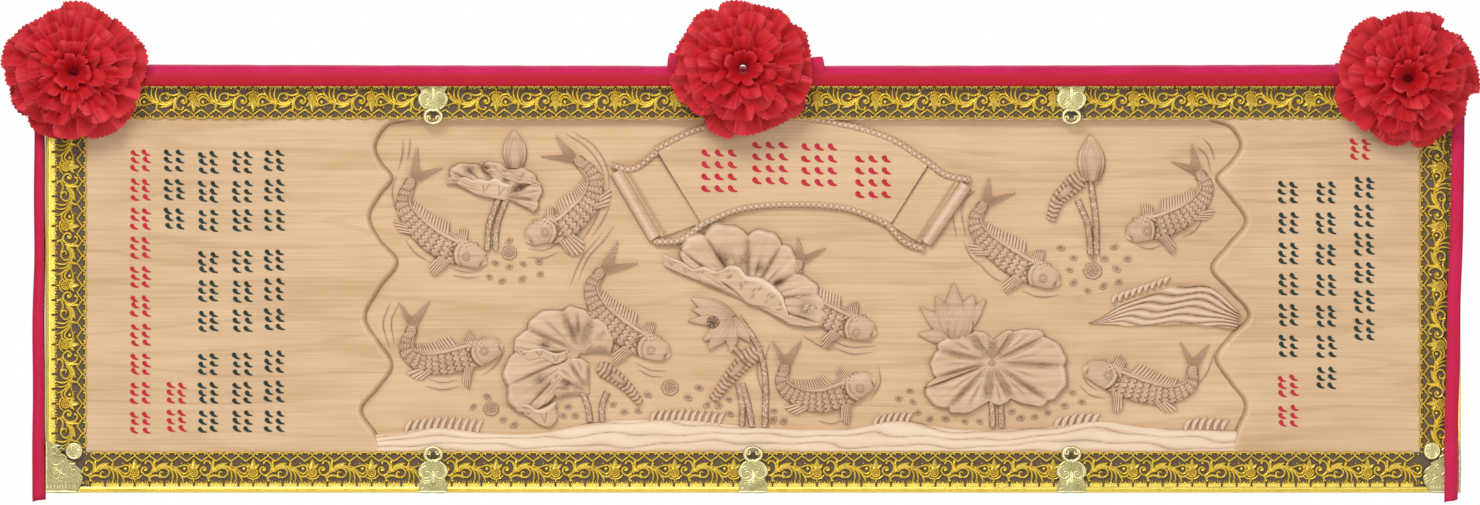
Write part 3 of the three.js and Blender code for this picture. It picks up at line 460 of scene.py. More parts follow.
# Short strokes, none of them a letter: each cell holds two rows of like, tapering cuts that never meet.
def strokesInCell(middle, cell, red, dice):
    across, down = inscription["perCell"]
    strokes = []
    for column in range(across):
        for row in range(down):
            place = np.array([(column + 0.5) / across - 0.5, (row + 0.5) / down - 0.5]) * cell
            place = place + middle + dice.uniform(-1, 1, 2) * inscription["jitter"]
            turn = inscription["lean"] + dice.uniform(-0.1, 0.1)
            length, bend = cell * dice.uniform(0.26, 0.32), 0.8
            t = np.linspace(0, 1, 9)
            run = np.stack([(t - 0.5) * length, bend * np.sin(tau * 0.6 * t)], axis=1)
            c, s = np.cos(turn), np.sin(turn)
            spots = onPanel(place + run @ np.array([[c, s], [-s, c]]))
            strokes.append({"spots": spots, "half": inscription["strokeHalf"] * (0.42 + 0.75 * (1 - t) ** 1.3), "red": red})
    return strokes


def columnStrokes(columns, dice):
    strokes = []
    for x, top, foot, red in columns:
        cells = max(1, int(round((foot - top) / inscription["pitch"])))
        for k in range(cells):
            middle = (x, top + (foot - top) * (k + 0.5) / cells)
            strokes += strokesInCell(middle, inscription["cell"], red, dice)
    return strokes


# How far each spot of a grid lies outside the nearest stroke, and whether that stroke is red.
def strokeField(spots, strokes):
    outside, red = np.full(spots.shape[:-1], 9.0), np.zeros(spots.shape[:-1])
    for stroke in strokes:
        low, high = stroke["spots"].min(axis=0) - 6, stroke["spots"].max(axis=0) + 6
        near = np.all((spots > low) & (spots < high), axis=-1)
        gap = np.linalg.norm(spots[near][:, None] - stroke["spots"], axis=-1) - stroke["half"]
        gap = gap.min(axis=1)
        closer = gap < outside[near]
        red[near] = np.where(closer, stroke["red"], red[near])
        outside[near] = np.minimum(outside[near], gap)
    return outside, red


def paintedCuts(outside, red):  # cut depth, paint share and hue of the strokes
    cut = inscription["cut"] * smoothStep(-outside, -0.3, 1.3)
    return cut, np.clip(0.5 - outside / 3, 0, 1), red


# A plain end of the board: a closed box whose front is a grid fine enough for the cut strokes.
def boardEnd(name, edges, fine, strokes):
    (left, right), (fineLow, fineHigh, fineFoot, fineTop) = edges, fine
    half, step = board["height"] / 2, 1.5
    u = np.r_[np.linspace(left, fineLow, 7), np.arange(fineLow + step, fineHigh, step),
              np.linspace(fineHigh, right, 7)]
    v = np.r_[np.linspace(-half, fineFoot, 7), np.arange(fineFoot + step, fineTop, step),
              np.linspace(fineTop, half, 7)]
    spots = np.stack(np.meshgrid(u, v, indexing="ij"), axis=-1)
    outside, red = strokeField(spots, strokes)
    cut, paint, red = paintedCuts(outside, red)
    front = reliefPatch(raised(spots, board["face"] - cut), 0.0, 0.0)
    spare = np.zeros(len(front["points"]) - paint.size)
    front["paint"], front["redShare"] = np.r_[paint.ravel(), spare], np.r_[red.ravel(), spare]
    # tint darkens the edge round each cut stroke: painted shade at the cuts
    front["tint"] = np.r_[0.25 * np.ravel(smoothStep(-outside, -0.8, -0.1)), spare]
    return makePiece(name, [front], groundWood, ["plaque_board"])


# The rim of the sunk middle, as offsets from its foot: millimetres outward and height over the ground.
rimSection = [(9.6, 11.0), (8.6, 10.9), (7.2, 10.4), (5.4, 9.6), (3.9, 8.4), (2.9, 6.6), (2.1, 4.0),
              (1.2, 1.2),
              (0.2, 0.15), (-0.9, -0.2)]
rims = {
    "left": [[424, 117], [409, 121], [388, 126], [376, 146], [381, 161], [393, 178], [381, 195], [370, 217],
             [381, 240],
             [398, 262], [381, 287], [366, 318], [379, 341], [393, 365], [378, 389], [362, 410], [376, 433],
             [384, 452]],
    "right": [[1228, 452], [1236, 429], [1245, 405], [1231, 384], [1215, 358], [1230, 335], [1248, 315],
              [1230, 292],
              [1211, 268], [1228, 244], [1245, 221], [1231, 199], [1216, 178], [1231, 161], [1240, 145],
              [1230, 128], [1211, 121]],
}


def shoulder(side):  # from the seam with the plain end to the foot of the rim
    rim = lineThrough(onPanel(rims[side]), 12)
    count = 230
    share = np.linspace(0, 1, count)
    foot = beside(rim, share)
    outward = beside(rim, share, -1.0) - foot
    spots = [foot + outward * offset for offset, _ in rimSection]
    lip = spots[0]
    seam = np.stack([np.full(count, seams[side]), lip[:, 1]], axis=1)
    flats = [mix(seam, lip, k) for k in (0, 0.5)]
    heights = [11.0] * len(flats) + [height for _, height in rimSection]
    top = np.stack([raised(line, board["ground"] + h) for line, h in zip(flats + spots, heights)], axis=1)
    # tints across the rim: painted highlight on the rounded lip, painted shade down the wall to its foot
    rimShadeAndHighlight = np.array([0] * len(flats) + [0, -0.1, -0.25, -0.2, 0, 0.1, 0.25, 0.5, 0.7, 0.6])
    return reliefPatch(top, board["sunk"], np.broadcast_to(rimShadeAndHighlight, top.shape[:2]))


def middleGround():  # the sunk ground with a slow unevenness left by the gouge
    u = np.linspace(seams["left"], seams["right"], 150)
    v = np.linspace(-board["height"] / 2, board["height"] / 2, 66)
    spots = np.stack(np.meshgrid(u, v, indexing="ij"), axis=-1)
    swell = 0.28 * np.sin(spots[..., 0] / 17 + 2 * np.sin(spots[..., 1] / 31)) * np.sin(spots[..., 1] / 13)
    inside = np.abs(spots[..., 1]) < seams["top"] - 5
    ground = reliefPatch(raised(spots, board["ground"] - 0.3 + swell * inside), 0.0)
    ground["tint"][:] = 0.0  # the back as pale as the ends' backs
    return ground


dice = np.random.default_rng(inscription["seed"])
half = board["width"] / 2
boardEnd("board_left_end", (-half, seams["left"]), (-812.0, -584.0, -204.0, 184.0),
         columnStrokes(inscription["left"], dice))
boardEnd("board_right_end", (seams["right"], half), (668.0, 808.0, -196.0, 204.0),
         columnStrokes(inscription["right"], dice))
rails = [boxShape((seams["left"] + 0.1, sign, board["sunk"]),
                  (seams["right"] - 0.1, end, board["face"] - 0.05))
         for sign, end in ((seams["top"], 264.9), (-264.9, -seams["top"]))]
makePiece("board_middle", [middleGround(), shoulder("left"), shoulder("right")] + rails, groundWood,
          ["plaque_board"])
print("board ready")


# nine koi: scaled body, gill cover, eye, rayed fins and a forked tail

koi = {
    "rise": 9.5, "half": 18.5, "fullest": 0.36, "nose": 0.3, "root": 0.42, "taper": 1.4, "crownLow": 0.62,
    "flank": 0.34, "gill": 0.262, "gillBow": 0.05, "scaleRows": 13.0, "scaleColumns": 2.7,
       "scaleRise": 1.25,
    "ridge": 0.56, "headRise": 0.9, "rows": 124, "columns": 39, "tailRays": 15, "tailFork": 0.42,
}
fins = [  # foot from and to along the body, reach out, share lost along it, swell, sweep, rays, heights
    {"side": 1, "foot": (0.35, 0.75), "reach": 12.5, "fade": 0.66, "swell": 0, "sweep": 7, "rays": 13,
     "high": (7.0, 3.4), "notch": 0.16},
    {"side": 1, "foot": (0.19, 0.27), "reach": 15, "fade": 0.45, "swell": 0, "sweep": 3, "rays": 5,
     "high": (7.2, 4.2), "notch": 0.26},
    {"side": -1, "foot": (0.255, 0.34), "reach": 12, "fade": 0.0, "swell": 11, "sweep": 8, "rays": 6,
     "high": (6.8, 4.4), "notch": 0.06},
    {"side": -1, "foot": (0.57, 0.67), "reach": 6.5, "fade": 0.1, "swell": 1, "sweep": 16, "rays": 4,
     "high": (5.5, 3.0), "notch": 0.1},
]
shoal = [  # from the mouth to the tail's root, the two tips of the tail, side of the back, and the eye
    ([[486, 262], [468, 254], [450, 248], [432, 238], [415, 222], [404, 204], [411, 180]],
     [[417, 145], [444, 167]], -1, [466, 256]),
    ([[526, 240], [543, 231], [560, 228], [577, 214], [590, 198], [593, 178], [577, 159]],
     [[555, 134], [539, 156]], 1, [545, 232]),
    ([[670, 354], [651, 347], [632, 337], [613, 323], [598, 306], [592, 288], [601, 271]],
     [[618, 239], [639, 263]], -1, [651, 350]),
    ([[502, 344], [484, 351], [464, 356], [443, 361], [420, 360], [407, 349], [412, 328]],
     [[398, 301], [430, 300]], -1, [484, 351]),
    ([[876, 332], [857, 327], [838, 320], [818, 309], [801, 296], [794, 280], [799, 262]],
     [[798, 236], [827, 247]], -1, [856, 332]),
    ([[874, 378], [858, 386], [842, 393], [822, 399], [800, 396], [783, 384], [785, 367]],
     [[772, 340], [802, 340]], -1, [860, 388]),
    ([[1060, 282], [1042, 275], [1021, 265], [1001, 252], [984, 237], [976, 221], [984, 204]],
     [[989, 176], [1017, 192]], -1, [1043, 278]),
    ([[1127, 236], [1146, 228], [1167, 222], [1187, 212], [1201, 199], [1206, 187], [1200, 173]],
     [[1192, 142], [1170, 161]], 1, [1147, 231]),
    ([[1085, 367], [1106, 375], [1128, 384], [1150, 391], [1172, 393], [1190, 385], [1193, 368]],
     [[1180, 341], [1210, 343]], 1, [1108, 375]),
]


def koiHalfDepth(s):  # blunt nose, fullest behind the gills, drawn in at the root of the tail
    front = mix(koi["nose"], 1, np.sin(tau / 4 * np.sqrt(np.clip(s / koi["fullest"], 0, 1))))
    fall = np.clip((s - koi["fullest"]) / (1 - koi["fullest"]), 0, 1)
    rear = mix(koi["root"], 1, np.cos(tau / 4 * fall) ** koi["taper"])
    return koi["half"] * np.where(s < koi["fullest"], front,
                                  rear) * (0.55 + 0.45 * smoothStep(s, -0.004, 0.03))


def koiCrown(s, t):  # height of the plain body over the ground
    lengthwise = mix(koi["crownLow"], 1, np.sin(np.pi * np.clip(s + 0.25, 0, 1)))
    return koi["rise"] * lengthwise * mix(koi["flank"], 1, np.sqrt(np.clip(1 - t * t, 0, 1)))


# Scales lie like roof tiles: each one rises to a rounded free edge and the next starts low behind it. The second value
# returned is a tint: painted shade just behind each free edge and a painted highlight along it.
def koiScales(s, t):
    run = np.clip((s - 0.25) / 0.75, 0, 1)
    x, y = koi["scaleRows"] * run * (0.84 + 0.3 * run), koi["scaleColumns"] * t
    own = np.floor(x)

    def edge(k):
        return k + 0.58 * np.abs(np.cos(np.pi * (y + 0.5 * np.mod(k, 2)))) ** 0.7

    under = x >= edge(own)
    ahead = edge(np.where(under, own + 1, own)) - x
    behind = x - edge(np.where(under, own, own - 1))
    height = koi["scaleRise"] * np.clip(1.05 - ahead, 0, 1)
    return height, 0.95 * bump(behind, 0.0, 0.3) - 0.55 * bump(ahead, 0.1, 0.16)


def koiBody(line, back):
    s = np.linspace(0, 1, koi["rows"])[:, None] + np.zeros(koi["columns"])
    t = np.sin(np.linspace(-1, 1, koi["columns"]) * tau / 4 * 0.94)[None] / np.sin(tau / 4 * 0.94) + 0 * s
    toBack = t * back
    height = koiCrown(s, t) * mix(0.55, 1, smoothStep(s, 0, 0.05))
    past = s - (koi["gill"] - koi["gillBow"] * t * t - 0.05 * smoothStep(toBack, 0.2, 1.0))
    onScales = smoothStep(past, 0.004, 0.02) * (1 - smoothStep(toBack, koi["ridge"] - 0.12, koi["ridge"]))
    scaleHeight, scaleShadeAndHighlight = koiScales(s, t)
    head = 1 - smoothStep(past, -0.006, 0.006)
    arched = 1 - smoothStep(toBack, 0.3, 0.7)
    height = height + onScales * scaleHeight + head * koi["headRise"]
    height = height + arched * (1.5 * bump(past, -0.014, 0.011) - 1.3 * bump(past, 0.008, 0.009))
    height = height - 0.6 * arched * bump(past, -0.036, 0.008)
    # the scaled part is tinted a little darker as staining; the other tints are painted light and shade: shade behind
    # the gill rim, in grooves, in the mouth and at the body's edges, highlights on the gill rim, the ridge and the brow
    # knobs
    tint = onScales * (scaleShadeAndHighlight + 0.16)
    tint = tint + arched * (1.0 * bump(past, 0.008, 0.010) - 0.5 * bump(past, -0.014, 0.008))
    tint = tint + 0.45 * arched * bump(past, -0.036, 0.008)
    behindHead = smoothStep(s, 0.24, 0.3)
    ridge = behindHead * bump(toBack, koi["ridge"] + 0.08, 0.07)
    groove = behindHead * (bump(toBack, koi["ridge"] - 0.07, 0.05) + bump(toBack, koi["ridge"] + 0.26,
                                                                          0.05))
    height = height + 1.0 * ridge - 0.9 * groove
    tint = tint - 0.45 * ridge + 0.75 * groove
    brow = smoothStep(toBack, 0.3, 0.5) * bump(s, 0.2, 0.06)
    knobs = np.sin(s * 150) * np.sin(t * 17)
    height, tint = height + brow * 0.7 * knobs, tint - brow * 0.8 * knobs
    mouth = bump(s, 0.03, 0.008) * bump(toBack, -0.45, 0.35)
    height, tint = height - 1.2 * mouth, tint + 0.9 * mouth + 0.35 * smoothStep(np.abs(t), 0.9, 1.0)
    spots = beside(line, s, t * koiHalfDepth(s))
    return reliefPatch(raised(spots, board["ground"] + height), None, tint)


# A fin or a tail: rays run from a foot line to a tip line, with a painted highlight on the rays and painted shade
# between them.
def rayedPatch(foot, tip, rays, high, notch, columns=8, perRay=5, bow=0.0):
    along = np.linspace(0, 1, rays * perRay + 1)
    wave = np.abs(np.sin(np.pi * rays * along)) ** 0.7
    out = np.linspace(0, 1, columns)[None, :] ** 0.9
    reach = 1 - notch * (1 - wave[:, None] ** 1.5) * smoothStep(out, 0.55, 1)
    start, end = foot(along)[:, None], tip(along)[:, None]
    spots = start + (end - start) * (out * reach)[..., None]
    if bow:
        heading = end - start
        spots = spots + np.stack([-heading[..., 1], heading[..., 0]], -1) * (bow * np.sin(np.pi * out))[...,
                                                                                                        None]
    lift = 1.5 * (wave[:, None] - 0.5) * smoothStep(out, 0.0, 0.2)
    # painted highlight on the raised rays, painted shade in the grooves
    tint = (0.85 - 1.25 * wave[:, None]) * smoothStep(out, 0.0, 0.3) + 0 * out
    height = board["ground"] + mix(high[0], high[1], out) + lift
    return reliefPatch(raised(spots, height), None, tint)


def koiFin(line, back, fin):
    side, (start, end) = fin["side"] * back, fin["foot"]

    def foot(along):
        s = mix(start, end, along)
        return beside(line, s, side * 0.7 * koiHalfDepth(s))

    def tip(along):
        s = mix(start, end, along)
        out = fin["reach"] * (1 - fin["fade"] * along) + fin["swell"] * np.sin(np.pi * along)
        return beside(line, s, side * (koiHalfDepth(s) + out), fin["sweep"])

    return rayedPatch(foot, tip, fin["rays"], fin["high"], fin["notch"])


def koiTail(line, tips):
    root, (first, second) = beside(line, 0.92), onPanel(tips)
    outline = mix(first[None], second[None], np.linspace(0, 1, 40)[:, None])
    middle = beside(line, 1.0)

    def tip(along):
        reach = 1 - koi["tailFork"] * np.sin(np.pi * along) ** 1.1
        return root + (mix(first[None], second[None], along[:, None]) - root) * reach[:, None]

    def foot(along):
        across = (outline[-1] - outline[0]) / np.linalg.norm(outline[-1] - outline[0])
        return middle + across * (along[:, None] - 0.5) * 9.0

    return rayedPatch(foot, tip, koi["tailRays"], (6.5, 3.2), 0.05, columns=14, perRay=4)


def nearest(line, spot):  # share of the run next to a spot, and how far it lies to the left
    gaps = np.linalg.norm(line["points"] - spot, axis=1)
    share = line["run"][gaps.argmin()]
    left = beside(line, share, 1.0) - beside(line, share)
    return share, float((spot - beside(line, share)) @ left)


# eye rings: radius and height, then tints that paint highlights on the raised rings and shade in the dips
eyeProfile = [(0, 1.5), (0.9, 1.6), (1.5, 2.3), (2.2, 2.2), (2.7, 1.4), (3.3, 1.4), (3.9, 2.5), (4.6, 2.5),
              (5.1, 1.5), (5.7, 1.0)]
eyeShadeAndHighlight = [0.4, 0.2, -0.6, -0.1, 0.8, 0.5, -0.5, -0.2, 0.8, 0.3]


def koiShapes(spine, tips, back, eye):
    line = lineThrough(onPanel(spine))
    share, sideways = nearest(line, onPanel(eye))
    depth = koiHalfDepth(np.array(share))
    level = board["ground"] + float(koiCrown(np.array(share), np.array(sideways / depth)))
    brow = beside(line, 0.125, back * koiHalfDepth(np.array(0.125)) * 0.93)
    chin = beside(line, np.linspace(0.0, 0.055, 9), -back * koiHalfDepth(np.linspace(0.0, 0.055, 9))
                  * np.linspace(0.1, 0.86, 9), -1.4)
    knob = beside(line, 0.97)
    heading = beside(line, 0.99) - beside(line, 0.93)
    turn = float(np.arctan2(heading[1], heading[0]))
    scaly = [(0, 8.6), (1.4, 7.8), (2.6, 8.5), (3.9, 7.3), (5.2, 7.7), (6.4, 6.2), (7.2, 5.8), (8.2, 3.8)]
    parts = [koiBody(line, back), koiTail(line, tips)] + [koiFin(line, back, fin) for fin in fins]
    parts.append(turnedDisc(onPanel(eye), eyeProfile, level, 18, tints=eyeShadeAndHighlight))
    # brow, scaly knob, chin and nostrils are tinted as painted light: highlights on raised parts, painted shade at
    # rims, dips and pits
    parts.append(turnedDisc(brow, [(0, 2.6), (1.4, 2.3), (2.6, 1.4), (3.2, 0)], board["ground"] + 5.5, 10,
                            tints=[-0.3, 0, 0.5, 0.8]))
    parts.append(turnedDisc(knob, scaly, board["ground"], 22, (1.15, 0.95), turn,
                            tints=[-0.3, 0.6, -0.4, 0.6, -0.3, 0.5, 0.9, 0.5]))
    parts.append(barAlong(chin, 1.7 * np.sin(np.pi * np.linspace(0.12, 0.95, 9)), 2.2,
                          board["ground"] + 3.6, -1.0))
    for s, t in ((0.065, 0.12), (0.085, 0.34)):
        spot = beside(line, s, back * t * koiHalfDepth(np.array(s)))
        parts.append(turnedDisc(spot, [(0, 0.0), (0.6, 0.2), (1.1, 0.9), (1.7, 0)],
                                board["ground"] + 6.4 + 10 * s,
                                8, tints=[1, 1, 0.2, 0]))
    return parts


koiPieces = [shape for drawing_ in shoal for shape in koiShapes(*drawing_)]
makePiece("koi", koiPieces, figureWood, ["plaque_board"])
print("koi ready")


# lotus leaves: lobes between notches on the rim, folds to the heart, a vein up each lobe

leafForm = {"rise": 9.0, "bulge": 0.24, "roundness": 0.7, "perLobe": 13, "rings": 17, "fold": 0.42}
leaves = [
    {"heart": [502, 197], "rise": 1.0, "seed": 3,
     "notches": [[462, 188], [449, 171], [482, 165], [508, 169], [537, 180], [538, 201], [534, 212]],
     "hollows": [(519, 188, 5.5, 4.5), (486, 169, 4, 3), (470, 170, 6, 2)]},
    {"heart": [580, 353], "rise": 1.0, "seed": 5,
     "notches": [[612, 352], [592, 317], [562, 310], [527, 329], [514, 352], [507, 386], [522, 413],
                 [552, 400]],
     "hollows": [(577, 330, 6, 2.5), (545, 345, 5, 2), (540, 380, 6, 2.5)]},
    {"heart": [589, 393], "rise": 0.9, "seed": 7, "notches": [[556, 398], [553, 376], [568, 361],
                                                              [589, 363]],
     "hollows": [(566, 386, 4, 2)]},
    {"heart": [748, 302], "rise": 1.1, "seed": 9,
     "notches": [[700, 282], [680, 250], [703, 233], [748, 233], [783, 243], [796, 273], [819, 294],
                 [822, 324],
                 [790, 325]],
     "hollows": [(724, 259, 7, 3), (742, 262, 5, 4), (760, 268, 5, 3), (778, 282, 5, 3), (806, 309, 8, 3)]},
    {"heart": [992, 363], "rise": 1.0, "seed": 11, "whole": True,
     "notches": [[1011, 399], [989, 402], [948, 409], [925, 388], [936, 378], [937, 350], [972, 333],
                 [994, 340],
                 [1014, 331], [1046, 336], [1065, 366], [1049, 402]], "hollows": []},
]
lips = [  # a turned-over lip of a leaf: its lower line, its wavy upper line and heights at both
    ([[664, 266], [682, 274], [701, 281], [720, 282], [734, 290], [748, 304], [766, 308], [777, 315],
      [788, 323]],
     [[664, 254], [683, 262], [694, 269], [705, 266], [716, 271], [723, 269], [729, 265], [740, 266],
      [747, 275],
      [757, 276], [766, 279], [776, 287], [783, 295], [786, 306], [790, 320]], 7.5, 12.5),
    ([[446, 184], [457, 184], [466, 189], [478, 195], [492, 198], [507, 201]],
     [[447, 176], [454, 178], [466, 177], [474, 180], [480, 178], [488, 180], [496, 177], [504, 182],
      [513, 184]],
     6.5, 10.5),
    ([[486, 173], [496, 175], [506, 179], [518, 183], [529, 184], [539, 189]],
     [[479, 163], [486, 169], [494, 168], [501, 172], [509, 172], [518, 177], [529, 178], [541, 183]], 9.0,
     12.5),
    ([[521, 413], [530, 418], [540, 425], [550, 427], [558, 419]],
     [[519, 404], [528, 404], [537, 409], [546, 406], [556, 400]], 5.0, 10.0),
    ([[516, 352], [528, 360], [542, 358], [556, 364], [568, 358]],
     [[515, 345], [526, 350], [540, 348], [556, 353], [568, 350]], 9.0, 11.5),
]


def leafOutline(leaf, dice):  # spots round the rim, and for each one its place in its own lobe
    heart, rims = onPanel(leaf["heart"]), onPanel(leaf["notches"])
    whole = leaf.get("whole", False)
    starts, ends = rims if whole else rims[:-1], np.roll(rims, -1, axis=0) if whole else rims[1:]
    place = np.linspace(0, 1, leafForm["perLobe"], endpoint=False)[None, :, None]
    middle = (starts + ends) / 2
    outward = (middle - heart) / np.linalg.norm(middle - heart, axis=1, keepdims=True)
    span = np.linalg.norm(ends - starts, axis=1)[:, None, None]
    out = span * leafForm["bulge"] * np.sin(np.pi * place) ** leafForm["roundness"]
    out = out + span * 0.022 * np.sin(tau * 2 * place + dice.uniform(0, tau, (len(starts), 1, 1)))
    spots = (starts[:, None] + (ends - starts)[:, None] * place + outward[:, None] * out).reshape(-1, 2)
    place = np.broadcast_to(place[..., 0], (len(starts), leafForm["perLobe"])).ravel()
    if not whole:
        spots, place = np.vstack([spots, rims[-1]]), np.r_[place, 1.0]
    return heart, spots, place, whole


# Height over the leaf: it dips at the heart and curls down at the rim, folds run to the notches,
# and a raised vein runs up the middle of each lobe with forked side veins.
def leafShape(leaf):
    dice = np.random.default_rng(leaf["seed"])
    heart, rim, place, whole = leafOutline(leaf, dice)
    r = np.linspace(0, 1, leafForm["rings"])[None, 1:] ** 0.85
    place = place[:, None] + 0 * r
    reach = np.linalg.norm(rim - heart, axis=1)[:, None]
    spots = heart + (rim - heart)[:, None] * r[..., None]
    fold = bump(np.minimum(place, 1 - place) * reach * 0.9 * r, 0, 5.5 if whole else 3.6) * smoothStep(r,
                                                                                                       0.05,
                                                                                                       0.3)
    level = np.interp(r, [0, 0.12, 0.4, 0.75, 0.93, 1], [0.5, 0.62, 0.9, 1.0, 0.97, 0.62])
    wave = 0.07 * np.sin(3.1 * np.arange(len(rim))[:, None] / leafForm["perLobe"] * tau + 4 * r) * r
    fade = 1 - 0.55 * smoothStep(r, 0.75, 1.0)
    height = leafForm["rise"] * leaf["rise"] * (level + wave) * (1 - (0.6 if whole else leafForm["fold"]) * fold * fade)
    offMiddle = (place - 0.5) * reach * 0.9 * r
    vein = bump(offMiddle, 0, 0.8) * smoothStep(r, 0.04, 0.14) * (1 - smoothStep(r, 0.86, 0.96))
    sides = np.zeros_like(height)
    for start in (0.34, 0.6):
        slant = np.abs(offMiddle) - 0.75 * (r - start) * reach
        sides = sides + bump(slant, 0, 0.8) * smoothStep(r, start,
                                                         start + 0.05) * (1 - smoothStep(r, 0.88, 0.97))
    height = height + 0.9 * vein + 0.6 * sides
    edge = smoothStep(r, 0.88, 0.95) * (1 - smoothStep(r, 0.97, 1.0))
    # tints: painted shade in the folds, beside each vein, on the flanks of the side veins, in the hollows and on the
    # outer rim; painted highlight on the curled edge and on the veins
    tint = 0.6 * fold * fade - 0.35 * edge + 0.85 * smoothStep(r, 0.97, 1.0)
    dark = bump(np.abs(offMiddle), 1.5, 0.55) * smoothStep(r, 0.06, 0.2) * (1 - smoothStep(r, 0.8, 0.95))
    tint = tint + 0.5 * dark - 0.3 * vein + 0.35 * bump(sides, 0.45, 0.25)
    for x, y, size, depth in leaf["hollows"]:
        gap = np.linalg.norm(spots - onPanel([x, y]), axis=-1)
        dip = bump(gap, 0, size * drawing["step"])
        height, tint = height - depth * dip, tint + 0.8 * dip
    top = raised(spots, board["ground"] + np.maximum(height, 1.0))
    if whole:
        middle = [*heart, board["ground"] + leafForm["rise"] * leaf["rise"] * 0.55]
        return reliefDisc(middle, np.swapaxes(top, 0, 1), None, np.swapaxes(tint, 0, 1), 0.3)
    centre = np.broadcast_to([*heart, board["ground"] + leafForm["rise"] * leaf["rise"] * 0.5],
                             top[:, :1].shape)
    fan = centre * [1, 1, 1] + (top[:, :1] - centre) * 0.08
    return reliefPatch(np.concatenate([fan, top], axis=1), None,
                       np.concatenate([tint[:, :1], tint], axis=1))


def lipShape(lower, upper, low, high):  # rolls up to a light wavy rim
    share = np.linspace(0, 1, 70)
    below, above = lineThrough(onPanel(lower)), lineThrough(onPanel(upper))
    start, end = spotOn(below, share)[:, None], spotOn(above, share)[:, None]
    across = np.linspace(0, 1, 13)[None, :, None]
    spots = start + (end - start) * across
    wave = np.sin(share * above["length"] / 6.5)[:, None]
    across = across[..., 0]
    height = mix(low, high, across) + 1.4 * bump(across, 0.86, 0.12) + 1.1 * wave * across
    ends = smoothStep(share, 0, 0.06) * (1 - smoothStep(share, 0.94, 1))
    height = board["ground"] + height * mix(0.6, 1, ends[:, None]) - 2.5 * (across > 0.99)
    along = share[:, None] * above["length"] / 22
    leaning = np.abs(np.mod(along, 1) - 0.5) * 22 - 9 * across
    vein = bump(leaning, -2, 0.9) * smoothStep(across, 0.1, 0.3) * (1 - smoothStep(across, 0.65, 0.8))
    # painted highlight along the wavy rim, painted shade in the cut veins and along both long edges
    tint = 0.75 * vein - 0.85 * bump(across, 0.86, 0.12) + 0.9 * (across > 0.99) + 0.7 * (across < 0.02)
    return reliefPatch(raised(spots, height - 0.6 * vein), None, tint)


# lotus flowers: petals laid over each other from base to tip, and two closed buds

petalForm = {"foot": 0.16, "roundness": 0.8, "rise": 6.0, "overlap": 0.6}
flowers = [
    {"base": [955, 338], "petals": [([986, 299], 10), ([920, 307], 10), ([918, 334], 9), ([974, 294], 14),
                                    ([954, 283], 13), ([936, 296], 12), ([938, 306], 13),
                                    ([962, 306], 20)]},
    {"base": [733, 318], "petals": [([691, 298], 12), ([691, 309], 9), ([688, 321], 8), ([703, 341], 9),
                                    ([708, 350], 11), ([731, 353], 9), ([750, 342], 9)]},
]
buds = [{"from": [515, 168], "to": [514, 129], "half": 15.5, "ribs": 9},
        {"from": [1092, 181], "to": [1091, 134], "half": 17.5, "ribs": 2}]


def petal(base, tip, half, rise, ribs=4, stainAndShade=0.35):
    base, tip = np.asarray(base, float), np.asarray(tip, float)
    share = np.linspace(0, 1, 24)[:, None]
    across = np.linspace(-1, 1, 17)[None, :]
    heading = (tip - base) / np.linalg.norm(tip - base)
    normal = np.array([-heading[1], heading[0]])
    width = half * np.sin(np.pi * mix(petalForm["foot"], 1, share)) ** petalForm["roundness"]
    width = width * (1 - 0.12 * bump(share, 0.85, 0.12)) + 0.15
    spots = base + (tip - base) * share[..., None] + normal * (width * across)[..., None]
    lift = rise * (0.55 + 0.45 * np.sqrt(np.clip(1 - across**2, 0, 1))) * (1 - 0.35 * share)
    rim = bump(np.abs(across), 0.9, 0.1)
    wave = np.sin(np.pi * ribs * across) * (1 - smoothStep(share, 0.6, 0.95))
    height = board["ground"] + lift + 0.9 * rim * smoothStep(share, 0.1, 0.4) + 0.35 * wave
    # tints: darker lines on the ribs towards the foot, painted highlight on the rim, painted shade towards the foot,
    # just inside the rim and along the outer edge
    tint = 0.3 * np.maximum(wave, 0) * (1 - share) - 0.5 * rim + stainAndShade * (1 - smoothStep(share, 0, 0.5))
    tint = tint + 0.9 * (np.abs(across) > 0.99) + 0.5 * bump(np.abs(across), 0.72, 0.07)
    return reliefPatch(raised(spots, height), None, np.broadcast_to(tint, height.shape))


def flowerShapes(flower):
    base = onPanel(flower["base"])
    return [petal(base, onPanel(tip), half, petalForm["rise"] + order * petalForm["overlap"])
            for order, (tip, half) in enumerate(flower["petals"])]


def budShapes(bud):
    start, end, rise, ribs = onPanel(bud["from"]), onPanel(bud["to"]), leafForm["rise"], bud["ribs"]
    across = np.array([drawing["step"], 0])
    outer = petal(start, end, bud["half"], rise - 1.5, ribs, 0.5)
    sides = [petal(start, mix(start, end, 0.86) + across * side * 4, bud["half"] * 0.5, rise - 0.6,
                   ribs / 2)
             for side in (-1, 1)]
    inner = petal(start, mix(start, end, 0.8), bud["half"] * 0.55, rise + 2, ribs / 2, 0.2)
    return [outer] + sides + [inner]


# stems with pale dots, and seed pods like catkins

